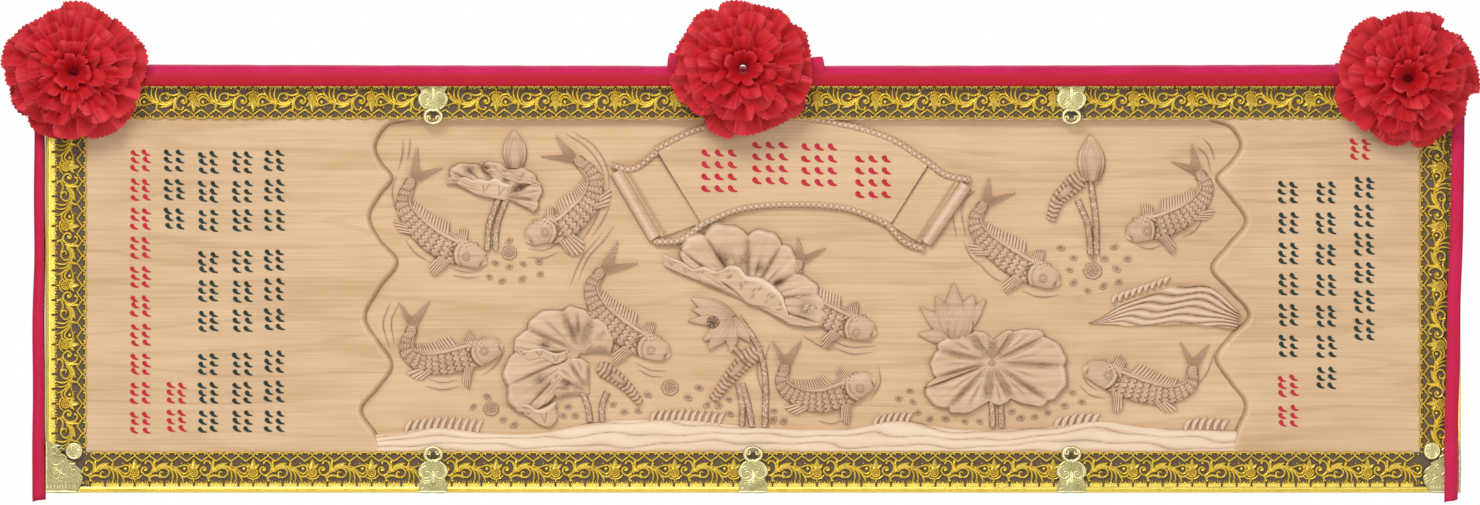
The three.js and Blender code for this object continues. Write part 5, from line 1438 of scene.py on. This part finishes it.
halfWide, halfHigh = edging["width"] / 2, edging["height"] / 2
stops = np.array([-halfWide] + edging["joints"] + [halfWide])
for k in range(4):
    start, end = stops[k] + edging["gap"] * (k > 0), stops[k + 1] - edging["gap"] * (k < 3)
    places = edgingFlowers["long"][k]
    edgingLength(f"trim_bottom_{k + 1}", start, end, (k == 0, k == 3), places, halfHigh, 0.0)
    edgingLength(f"trim_top_{k + 1}", -end, -start, (k == 3, k == 0), [-p for p in places[::-1]], halfHigh,
                 np.pi)
sideHalf = halfHigh - 3 * edging["gap"]
edgingLength("trim_left", -sideHalf, sideHalf, (1, 1), edgingFlowers["side"], halfWide, -tau / 4)
edgingLength("trim_right", -sideHalf, sideHalf, (1, 1), edgingFlowers["side"], halfWide, tau / 4)
print("edging ready")


# pale gilt covers over the joints and the corners: wires and leaves on a thin cut-out plate

cover = {"back": 41.0, "face": 41.7}
jointPlate = [(18, 0.4), (18.6, 12), (14.5, 18), (18.0, 27), (12, 36.5), (7.2, 41)]
jointWires = [  # right half of the crown, drawn from its middle line
    ([(0, 58.6), (4.5, 57.6), (9.2, 54.4), (10.6, 49.6), (9.0, 44.6), (4.4, 41.6), (0, 41.0)], 1.9, 1.3),
    ([(4.2, 57.4), (7.6, 53.6), (7.2, 49.8), (4.2, 49.6), (3.4, 52.0)], 1.1, 1.1),
    ([(0.2, 31.2), (3.4, 34.6), (7.3, 38.2), (6.4, 40.2), (2.6, 39.8), (0, 38.2)], 1.0, 1.4),
    ([(2.6, 37.0), (3.6, 37.6), (1.0, 34.6)], 0.7, 1.0),
    ([(8.6, 40.2), (13.6, 36.0), (17.0, 30.2), (17.4, 24.4), (14.6, 20.4)], 1.5, 1.2),
    ([(4.0, 30.6), (8.6, 34.4), (14.2, 31.6), (15.6, 26.0), (13.2, 20.4), (8.4, 18.6), (4.2, 21.2),
      (3.6, 25.0),
      (6.4, 27.6), (9.6, 26.4), (9.6, 23.4)], 1.3, 1.4),
    ([(5.2, 28.6), (8.2, 31.0), (11.2, 29.4)], 0.9, 1.1),
    ([(1.4, 18.6), (5.6, 15.6), (10.6, 16.2), (15.6, 18.4)], 1.1, 1.3),
    ([(2.2, 15.2), (6.4, 12.8), (11.4, 13.6), (16.4, 15.4)], 1.0, 1.1),
    ([(0.6, 7.4), (3.6, 11.4), (6.6, 9.6), (5.4, 5.8)], 0.9, 1.0),
              ([(7.6, 10.2), (10.8, 11.6), (12.6, 8.2)], 0.9, 1.0),
    ([(9.0, 5.6), (12.4, 6.6), (15.6, 4.6)], 0.8, 0.9),
              ([(13.6, 10.0), (16.6, 11.6), (17.4, 8.0)], 0.8, 0.9),
    ([(0, 1.4), (9, 1.5), (17.6, 1.4)], 1.6, 1.2),
]
jointBeads = [(4.2, 52.0, 2.1, 1.6), (7.3, 23.6, 1.7, 1.5), (0.0, 41.6, 2.3, 1.3), (2.4, 9.0, 1.1, 0.9)]
cornerPlate = [(0.3, 0.3), (40.0, 0.3), (46.4, 12), (48.6, 20), (42.0, 31), (36.0, 40.0), (24.0, 45.0),
               (15.0, 60),
               (6.0, 66), (0.3, 66)]
cornerWires = [  # inward from the side and inward from the long edge, for one corner
    ([(7.6, 43.8), (8.6, 39.0), (12.4, 35.8), (17.0, 36.6), (20.2, 40.0), (24.6, 42.4)], 1.3, 1.4),
    ([(6.6, 47.6), (11.0, 49.6), (16.6, 48.2), (22.4, 48.8), (26.6, 45.4), (26.0, 41.0), (22.6, 40.0)], 1.2,
     1.4),
    ([(2.4, 31.0), (4.6, 25.4), (9.6, 20.0), (14.2, 18.0), (18.0, 21.4), (18.4, 27.4), (14.6, 32.2),
      (10.4, 31.2),
      (9.2, 27.2), (11.8, 24.0)], 1.3, 1.5),
    ([(24.6, 34.4), (20.8, 31.0), (20.6, 26.4), (24.2, 23.4), (27.4, 24.4)], 1.3, 1.4),
    ([(24.2, 29.6), (27.0, 32.6), (30.6, 31.6)], 1.1, 1.2),
    ([(18.8, 17.0), (22.4, 19.4), (27.2, 20.8), (32.6, 19.6), (37.4, 15.8)], 1.2, 1.5),
    ([(1.6, 50.0), (3.8, 45.0), (2.6, 39.6)], 1.1, 1.2),
               ([(3.4, 62.6), (6.6, 57.6), (5.2, 52.2)], 1.1, 1.2),
    ([(9.6, 63.8), (14.4, 60.6), (19.8, 61.0)], 1.2, 1.3),
               ([(16.6, 55.4), (21.0, 57.6), (24.6, 54.6)], 1.1, 1.2),
    ([(39.6, 33.6), (44.0, 30.0), (47.4, 25.4)], 1.1, 1.3),
               ([(40.6, 24.0), (44.6, 22.6), (47.8, 20.6)], 1.0, 1.3),
    ([(40.0, 20.4), (44.4, 18.6), (46.8, 16.0)], 1.0, 1.2),
               ([(39.4, 16.6), (43.6, 14.4), (45.8, 11.2)], 1.0, 1.2),
    ([(31.0, 37.4), (34.6, 36.8), (38.6, 38.4)], 1.3, 1.4),
               ([(28.6, 36.6), (32.6, 33.4), (33.6, 29.0)], 1.2, 1.3),
    ([(3.0, 14.6), (9.0, 16.0), (13.6, 13.8), (19.6, 15.4), (26.0, 13.6), (33.0, 15.0), (39.0, 12.6)], 1.0,
     1.1),
    ([(1.0, 1.5), (20.0, 1.6), (39.4, 1.5)], 1.7, 1.1), ([(1.5, 4.4), (1.6, 34.0), (1.5, 65.4)], 1.4, 1.0),
]
cornerRings = [(10.9, 54.7, 4.4), (36.4, 26.2, 3.9), (13.9, 27.0, 2.4)]


def plateShape(outline, at):  # a thin plate cut to an outline
    spots = at(np.asarray(outline, float))
    count = len(spots)
    points = np.vstack([raised(spots, cover["back"]), raised(spots, cover["face"])])
    ring = np.arange(count)
    walls = np.stack([ring, np.roll(ring, -1), np.roll(ring, -1) + count, ring + count], axis=1)
    # the plate is tinted dark: painted shade between the wires laid over it
    return shapeOf(points, [(ring[None, ::-1], False), (ring[None] + count, False), (walls, False)], 0.72)


def coverWires(wires, at, base):
    return [wireShape(at(np.asarray(path, float)), half, rise - 0.6, base=base, perSpan=3) for path, half,
            rise in wires]


def combTeeth(start, end, count, inward, at):  # short slanting leaves of a comb band
    places = np.linspace(start, end, count)
    return [leafletShape(at(np.array([x, inward])), at(np.array([x + lean, inward + 7.4])), 1.25, -0.1,
                         cover["back"]) for x, lean in zip(places, 1.6 * np.sin(places * 1.3))]


def jointCover(name, along, sign):
    def at(spots, side=1):
        return np.stack([along + side * spots[..., 0], sign * (halfHigh - spots[..., 1])], axis=-1)

    outline = jointPlate + [(-a, q) for a, q in jointPlate[::-1]]
    shapes = [plateShape(outline, at)]
    for side in (1, -1):
        shapes += coverWires(jointWires, lambda spots: at(spots, side), cover["back"])
        shapes += [beadShape(*at(np.array([a, q]), side), radius, rise - 0.6, 8, cover["back"])
                   for a, q, radius, rise in jointBeads if a > 0 or side > 0]
    shapes.append(leafletShape(at(np.array([0.0, 12.5])), at(np.array([0.0, 30.0])), 3.2, 0.4,
                               cover["back"]))
    return makePiece(name + "_crown", shapes, paleGilt, [name])


def cornerCover(name, across, up):
    def at(spots):
        return np.stack([across * (halfWide - spots[..., 0]), up * (halfHigh - spots[..., 1])], axis=-1)

    low, (roseA, roseQ) = cover["back"], (36.8, 53.6)
    shapes = [plateShape(cornerPlate, at)] + coverWires(cornerWires, at, low)
    shapes += [wireShape(at(ringSpots(a, q, radius, 14)), 1.15, 0.8, closed=True, base=low)
               for a, q, radius in cornerRings]
    shapes += combTeeth(4.0, 38.5, 10, 4.6, at)
    for radius, half, rise in ((9.2, 1.5, 0.5), (6.2, 1.2, 0.9), (3.2, 1.0, 1.2)):
        shift = 0.5 * (9.2 - radius)
        shapes.append(wireShape(at(ringSpots(roseA - shift, roseQ + 0.4 * shift, radius, 20)), half, rise,
                                closed=True, base=low))
    # the flat disc under the rose rings is tinted darker: painted shade
    shapes.append(turnedDisc(at(np.array([roseA, roseQ])), [(0, 0.9), (6, 0.9), (9.4, 0.7)], low, 20,
                             floor=low,
                             tints=[0.5, 0.5, 0.5]))
    shapes.append(beadShape(*at(np.array([roseA - 3.0, roseQ + 1.4])), 1.8, 1.2, 8, low))
    shapes += [leafletShape(at(np.array([roseA + 4 * np.cos(a), roseQ + 4 * np.sin(a)])),
                            at(np.array([roseA + 10.8 * np.cos(a), roseQ + 10.8 * np.sin(a)])), 3.0, 0.9,
                            low)
               for a in np.radians([-62, -18, 24, 66])]
    return makePiece(name + "_scrolls", shapes, paleGilt, [name])


for up, side in ((1, "top"), (-1, "bottom")):
    for k, along in enumerate(edging["joints"]):
        jointCover(f"joint_cover_{side}_{k + 1}", along, up)
    cornerCover(f"corner_cover_{side}_left", -1, up)
    cornerCover(f"corner_cover_{side}_right", 1, up)
print("covers ready")


# the red sash and the three rosettes, made of thin sheets of cloth

def clothPiece(name, sheets, finish, nodes, thickness):  # sheets: grids of points with an edge value
    mesh = bpy.data.meshes.new(name)
    starts = np.cumsum([0] + [points[..., 0].size for points, _, _ in sheets])
    points = np.vstack([points.reshape(-1, 3) for points, _, _ in sheets])
    quads = np.vstack([gridQuads(*grid.shape[:2], closedRows=closed) + start
                       for (grid, _, closed), start in zip(sheets, starts)])
    mesh.from_pydata(np.stack([points[:, 0], -points[:, 2], points[:, 1]], axis=1) / 1000, [],
                     quads.tolist())
    mesh.polygons.foreach_set("use_smooth", np.ones(len(quads), bool))
    # the edge value of each sheet is stored as an attribute: it carries the painted highlight
    edge = np.concatenate([np.ravel(np.broadcast_to(edge, grid.shape[:2])) for grid, edge, _ in sheets])
    mesh.attributes.new("edge", "FLOAT", "POINT").data.foreach_set("value", edge.astype(np.float32))
    mesh.update()
    piece = bpy.data.objects.new(name, mesh)
    bpy.context.scene.collection.objects.link(piece)
    mesh.materials.append(finish)
    if thickness:
        wall = piece.modifiers.new("wall", "SOLIDIFY")
        wall.thickness, wall.offset = thickness, 0.0
    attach(piece, "root")
    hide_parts(*nodes)
    return piece


def meshArea(piece):
    return sum(face.area for face in piece.data.polygons)


sash = {"ends": (-913.0, 905.0), "edge": 266.5, "slack": 0.12, "steps": 220, "thickness": 0.0006}
sashFold = [(0.9, 18.0), (6.0, 16.8), (13.0, 19.4), (17.2, 27.0), (17.3, 36.0), (13.4, 44.4), (6.8, 49.4),
            (-1.6, 51.4), (-9.0, 50.4), (-10.8, 47.6), (-9.4, 44.2), (-4.0, 43.4)]
tailFolds = {  # sections of the hanging tails: across and out of the wall, for a half width of 1
    "left": {"fold": [(0.85, 17.0), (0.1, 15.0), (-0.7, 18.0), (-1.0, 27.0), (-0.95, 38.0), (-0.55, 45.6),
                      (0.25, 47.2), (0.9, 42.0)], "top": (-917, 6.0), "foot": (-918, 8.5)},
    "right": {"fold": [(0.1, 45.2), (-0.8, 44.6), (-1.0, 47.0), (-0.72, 50.2), (0.1, 51.4), (0.8, 50.0),
                       (1.0, 47.2), (0.7, 45.0)], "top": (907, 8.0), "foot": (895, 8.5)},
}


def wrinkle(along, across):  # long soft creases that wander along the ribbon
    return (np.sin(along / 37 + 2.1 * across) + 0.7 * np.sin(along / 16 + 5 * across + 1.3)
            + 0.45 * np.sin(along / 7.3 - 3 * across))


def sashRun():
    fold = lineThrough(sashFold, 6)
    u = np.linspace(*sash["ends"], sash["steps"])[:, None]
    share, across = (u - u[0]) / (u[-1] - u[0]), np.linspace(0, 1, 34)[None, :]
    section = spotOn(fold, across)
    near = sum(bump(u, place, 95.0) for place in (-870.0, -13.0, 838.0))
    push = (0.35 + 0.9 * near) * wrinkle(u, across * 3) * np.sin(np.pi * np.clip(across, 0.02,
                                                                                 1)) ** 0.5 * 0.55
    rise, out = section[..., 0], section[..., 1]
    rise = np.where(rise > 1, rise * (1 - sash["slack"] * np.sin(np.pi * share)), rise + 0 * share)
    centre = np.array([3.0, 32.0])
    away = np.stack([rise - centre[0], out + 0 * rise - centre[1]], axis=-1)
    away = away / np.linalg.norm(away, axis=-1, keepdims=True)
    inward = -np.abs(push)
    points = np.stack([u + 0 * rise, sash["edge"] + rise + away[..., 0] * inward,
                       out + away[..., 1] * inward], -1)
    # a painted highlight band along the rounded top of the fold
    light = smoothStep(across, 0.34, 0.5) * (1 - smoothStep(across, 0.55, 0.7))
    return points, light + 0 * rise


def sashTail(side):
    form = tailFolds[side]
    fold = lineThrough(form["fold"], 6)
    v, across = np.linspace(276, -276, 120)[:, None], np.linspace(0, 1, 26)[None, :]
    share = (276 - v) / 552
    section = spotOn(fold, across)
    middle, half = mix(form["top"][0], form["foot"][0], share), mix(form["top"][1], form["foot"][1], share)
    sway = 0.8 * np.sin(v / 60) + 0.4 * np.sin(v / 23)
    crease = 0.07 * np.sin(v / 30 + 6 * across) * np.sin(np.pi * across)
    u = middle + half * (section[..., 0] * (0.97 + crease)) + sway * 0.6
    points = np.stack([u, v - 2.5 * np.sin(across * 5) * share**3 + 0 * u, section[..., 1] + 0 * u],
                      axis=-1)
    # painted highlight across the middle of the tail's width
    return points, 0.25 + 0.3 * np.sin(across * np.pi) + 0 * u


def sashLoop(place, reach, side, tilt):  # a flat loop: out to its tip in front and back behind
    s, t = np.linspace(0, 1, 40)[:, None], np.linspace(-1, 1, 12)[None, :]
    x = np.sin(np.pi * s) ** 0.75
    half = mix(7.0, 17.5, smoothStep(x, 0.2, 1.0))
    u = place[0] + side * (mix(25, reach, x) - 3.0 * t * t * x)
    v = place[1] + t * half + tilt * x
    w = 48.0 + 3.1 * np.cos(np.pi * s) + 0.8 * np.sin(3.5 * t + 4 * s) * x
    # the second value is a painted highlight, growing towards the loop's tip and its upper side
    return np.stack([u + 0 * t, v + 0 * s, np.clip(w, 43.9, 51.9)], axis=-1), 0.85 * x * smoothStep(t, -0.6,
                                                                                                    0.8)


def addSheet(name, sheets, finish, nodes, flat, thickness):
    piece = clothPiece(name, sheets, finish, nodes, thickness)
    area = meshArea(piece)
    flat = (flat[0], round(area / flat[0], 3)) if flat[1] is None else flat
    print("cloth", name, "area", round(area, 4), "cut", flat, "share", round(area / (flat[0] * flat[1]), 2))
    return piece


run, light = sashRun()
addSheet("sash_run", [(run, light, False)], sashCloth, ["sash_ribbon"], (0.078, 1.83),
         sash["thickness"])
for side, cut in (("left", (0.070, 0.556)), ("right", (0.042, 0.556))):
    tail, light = sashTail(side)
    addSheet("sash_tail_" + side, [(tail, light, False)], sashCloth, ["sash_ribbon"], cut,
             sash["thickness"])

rosettePlaces = {"left": (-870.0, 273.0, 60, 70), "centre": (-13.0, 278.0, 97, 105),
                 "right": (838.0, 265.0, 93, 60)}
for name, (u, v, leftReach, rightReach) in rosettePlaces.items():
    pair = [(*sashLoop((u, v), reach, side, tilt), False)
            for reach, side, tilt in ((leftReach, -1, 3.0), (rightReach, 1, -2.0))]
    addSheet("sash_loops_" + name, pair, sashCloth, ["sash_ribbon"],
             (0.030, None), 0.0005)

# A rosette is six ruffled rings of pinked cloth, from a wide flat one behind to an upright one in
# the middle. Lobes of the rim run between notches; the ruffles grow towards the rim.
rosette = {"back": 53.0, "squash": 0.95, "pinking": 2.3,
           "notches": [48, 107, 180, 229, 275, 341]}
# radius at the rim, height at the foot and at the rim, ruffle size, waves, count, lobe depth
rosetteRings = [
    {"rim": 93.5, "foot": 4, "rimRise": 12, "ruffle": 5.5, "waves": 17, "count": 300, "lobes": 0.13,
     "turn": 0.0},
    {"rim": 88.0, "foot": 9, "rimRise": 24, "ruffle": 7.0, "waves": 15, "count": 280, "lobes": 0.14,
     "turn": 0.35},
    {"rim": 76.0, "foot": 13, "rimRise": 38, "ruffle": 8.0, "waves": 13, "count": 240, "lobes": 0.17,
     "turn": 0.9},
    {"rim": 61.0, "foot": 16, "rimRise": 48, "ruffle": 8.5, "waves": 11, "count": 200, "lobes": 0.2,
     "turn": 1.7},
    {"rim": 44.0, "foot": 18, "rimRise": 55, "ruffle": 8.0, "waves": 8, "count": 150, "lobes": 0.24,
     "turn": 2.5},
    {"rim": 26.0, "foot": 20, "rimRise": 59, "ruffle": 6.0, "waves": 5, "count": 100, "lobes": 0.28,
     "turn": 3.6},
]


def ruffledRing(ring, place, dice):
    angle = tau * np.arange(ring["count"])[:, None] / ring["count"]
    r = np.linspace(0, 1, 11)[None, :]
    notches = np.radians(rosette["notches"]) + ring["turn"] + dice.uniform(-0.12, 0.12, 6)
    gap = np.min(np.abs(np.angle(np.exp(1j * (angle[..., None] - notches)))), axis=-1)
    lobe = 1 - ring["lobes"] * bump(gap, 0, 0.13) * r**1.5
    phase = dice.uniform(0, tau, 3)
    wave = np.sin(ring["waves"] * angle + 1.6 * np.sin(3 * angle + phase[0]) + phase[1])
    second = np.sin((2 * ring["waves"] + 3) * angle + 2 * np.sin(2 * angle + phase[2]))
    grow = r**1.7
    reach = mix(5.0, ring["rim"], r) * lobe * (1 + 0.045 * grow * np.sin(5 * angle + phase[0]))
    reach = reach - rosette["pinking"] * (np.arange(ring["count"])[:, None] % 2) * (r > 0.99)
    lean = 0.1 * grow * np.cos(ring["waves"] * angle + 1.6 * np.sin(3 * angle + phase[0]) + phase[1]) \
        * (60 / (ring["rim"] + 20))
    rise = mix(ring["foot"], ring["rimRise"], np.sin(tau / 4 * r) ** 0.8)
    rise = rise + ring["ruffle"] * grow * (wave + 0.35 * second) - 5.0 * bump(gap, 0, 0.1) * grow
    rise = rise - 3.0 * bump(r, 1.0, 0.12)
    turned = angle + lean
    u = place[0] + reach * np.cos(turned)
    v = place[1] + reach * np.sin(turned) * rosette["squash"]
    points = np.stack([u, v, rosette["back"] + np.clip(rise, 1.0, 64.5)], axis=-1)
    # painted highlight: lighter towards the rim and on the ruffle crests
    edge = r**3 * (0.55 + 0.45 * wave) + 0.35 * smoothStep(r, 0.85, 1.0)
    return points, np.clip(edge, 0, 1)


for k, (name, (u, v, _, _)) in enumerate(rosettePlaces.items()):
    ringDice = np.random.default_rng(7 + 5 * k)
    sheets = [(*ruffledRing(ring, (u, v), ringDice), True) for ring in rosetteRings]
    addSheet("rosette_" + name + "_petals", sheets, rosetteCloth, ["rosette_" + name],
             (0.060, None),
             0.0)
print("cloth ready")


# light, floor and camera

def addLamp(name, spot, aim, size, power, colour=(1, 1, 1)):
    lamp = bpy.data.lights.new(name, "AREA")
    lamp.shape, lamp.size, lamp.size_y, lamp.energy, lamp.color = "RECTANGLE", size[0], size[1], power, colour
    holder = bpy.data.objects.new(name, lamp)
    bpy.context.scene.collection.objects.link(holder)
    holder.location = spot
    holder.rotation_euler = (Vector(aim) - Vector(spot)).to_track_quat("-Z", "Y").to_euler()


view = {"middle": (-0.0167, 0.0421), "width": 1.9018, "away": 10.0, "lens": 200.0}
stage = {"low": -0.47, "size": 4.0}
floorFinish, floorTree, floorShader = newFinish("paleFloor")
floorShader.inputs["Base Color"].default_value = (0.9, 0.9, 0.9, 1)
floorShader.inputs["Roughness"].default_value = 0.7
bpy.ops.mesh.primitive_plane_add(size=stage["size"], location=(0, 0, stage["low"]))
floor = bpy.context.object
floor.name = "floor"
floor.data.materials.append(floorFinish)

addLamp("key", (-1.2, -3.2, 2.6), (0, 0, 0), (2.4, 1.2), 95)
addLamp("fill", (2.6, -3.4, 0.6), (0, 0, 0), (2.0, 2.0), 28)
addLamp("front", (0, -5.0, 0.4), (0, 0, 0), (3.2, 1.2), 30)
addLamp("behind", (0.0, 3.5, 2.4), (0, 0, 0), (3.0, 2.0), 60)

world = bpy.data.worlds.new("studio")
bpy.context.scene.world = world
world.use_nodes = True
worldTree = world.node_tree
lit = worldTree.nodes["Background"]
lit.inputs[0].default_value = (0.9, 0.93, 1.0, 1)
lit.inputs[1].default_value = 0.32
seen = worldTree.nodes.new("ShaderNodeBackground")
seen.inputs[0].default_value = (1, 1, 1, 1)
seen.inputs[1].default_value = 1.0
chooser = worldTree.nodes.new("ShaderNodeMixShader")
ray = worldTree.nodes.new("ShaderNodeLightPath")
worldTree.links.new(ray.outputs["Is Camera Ray"], chooser.inputs[0])
worldTree.links.new(lit.outputs[0], chooser.inputs[1])
worldTree.links.new(seen.outputs[0], chooser.inputs[2])
worldTree.links.new(chooser.outputs[0], worldTree.nodes["World Output"].inputs[0])

camera = bpy.data.cameras.new("camera")
camera.lens, camera.sensor_width = view["lens"], 36.0
eye = bpy.data.objects.new("camera", camera)
bpy.context.scene.collection.objects.link(eye)
away = view["lens"] / 36.0 * view["width"]
eye.location = (view["middle"][0], -board["face"] / 1000 - away, view["middle"][1])
eye.rotation_euler = (np.pi / 2, 0, 0)
bpy.context.scene.camera = eye
bpy.context.scene.view_settings.view_transform = "Standard"
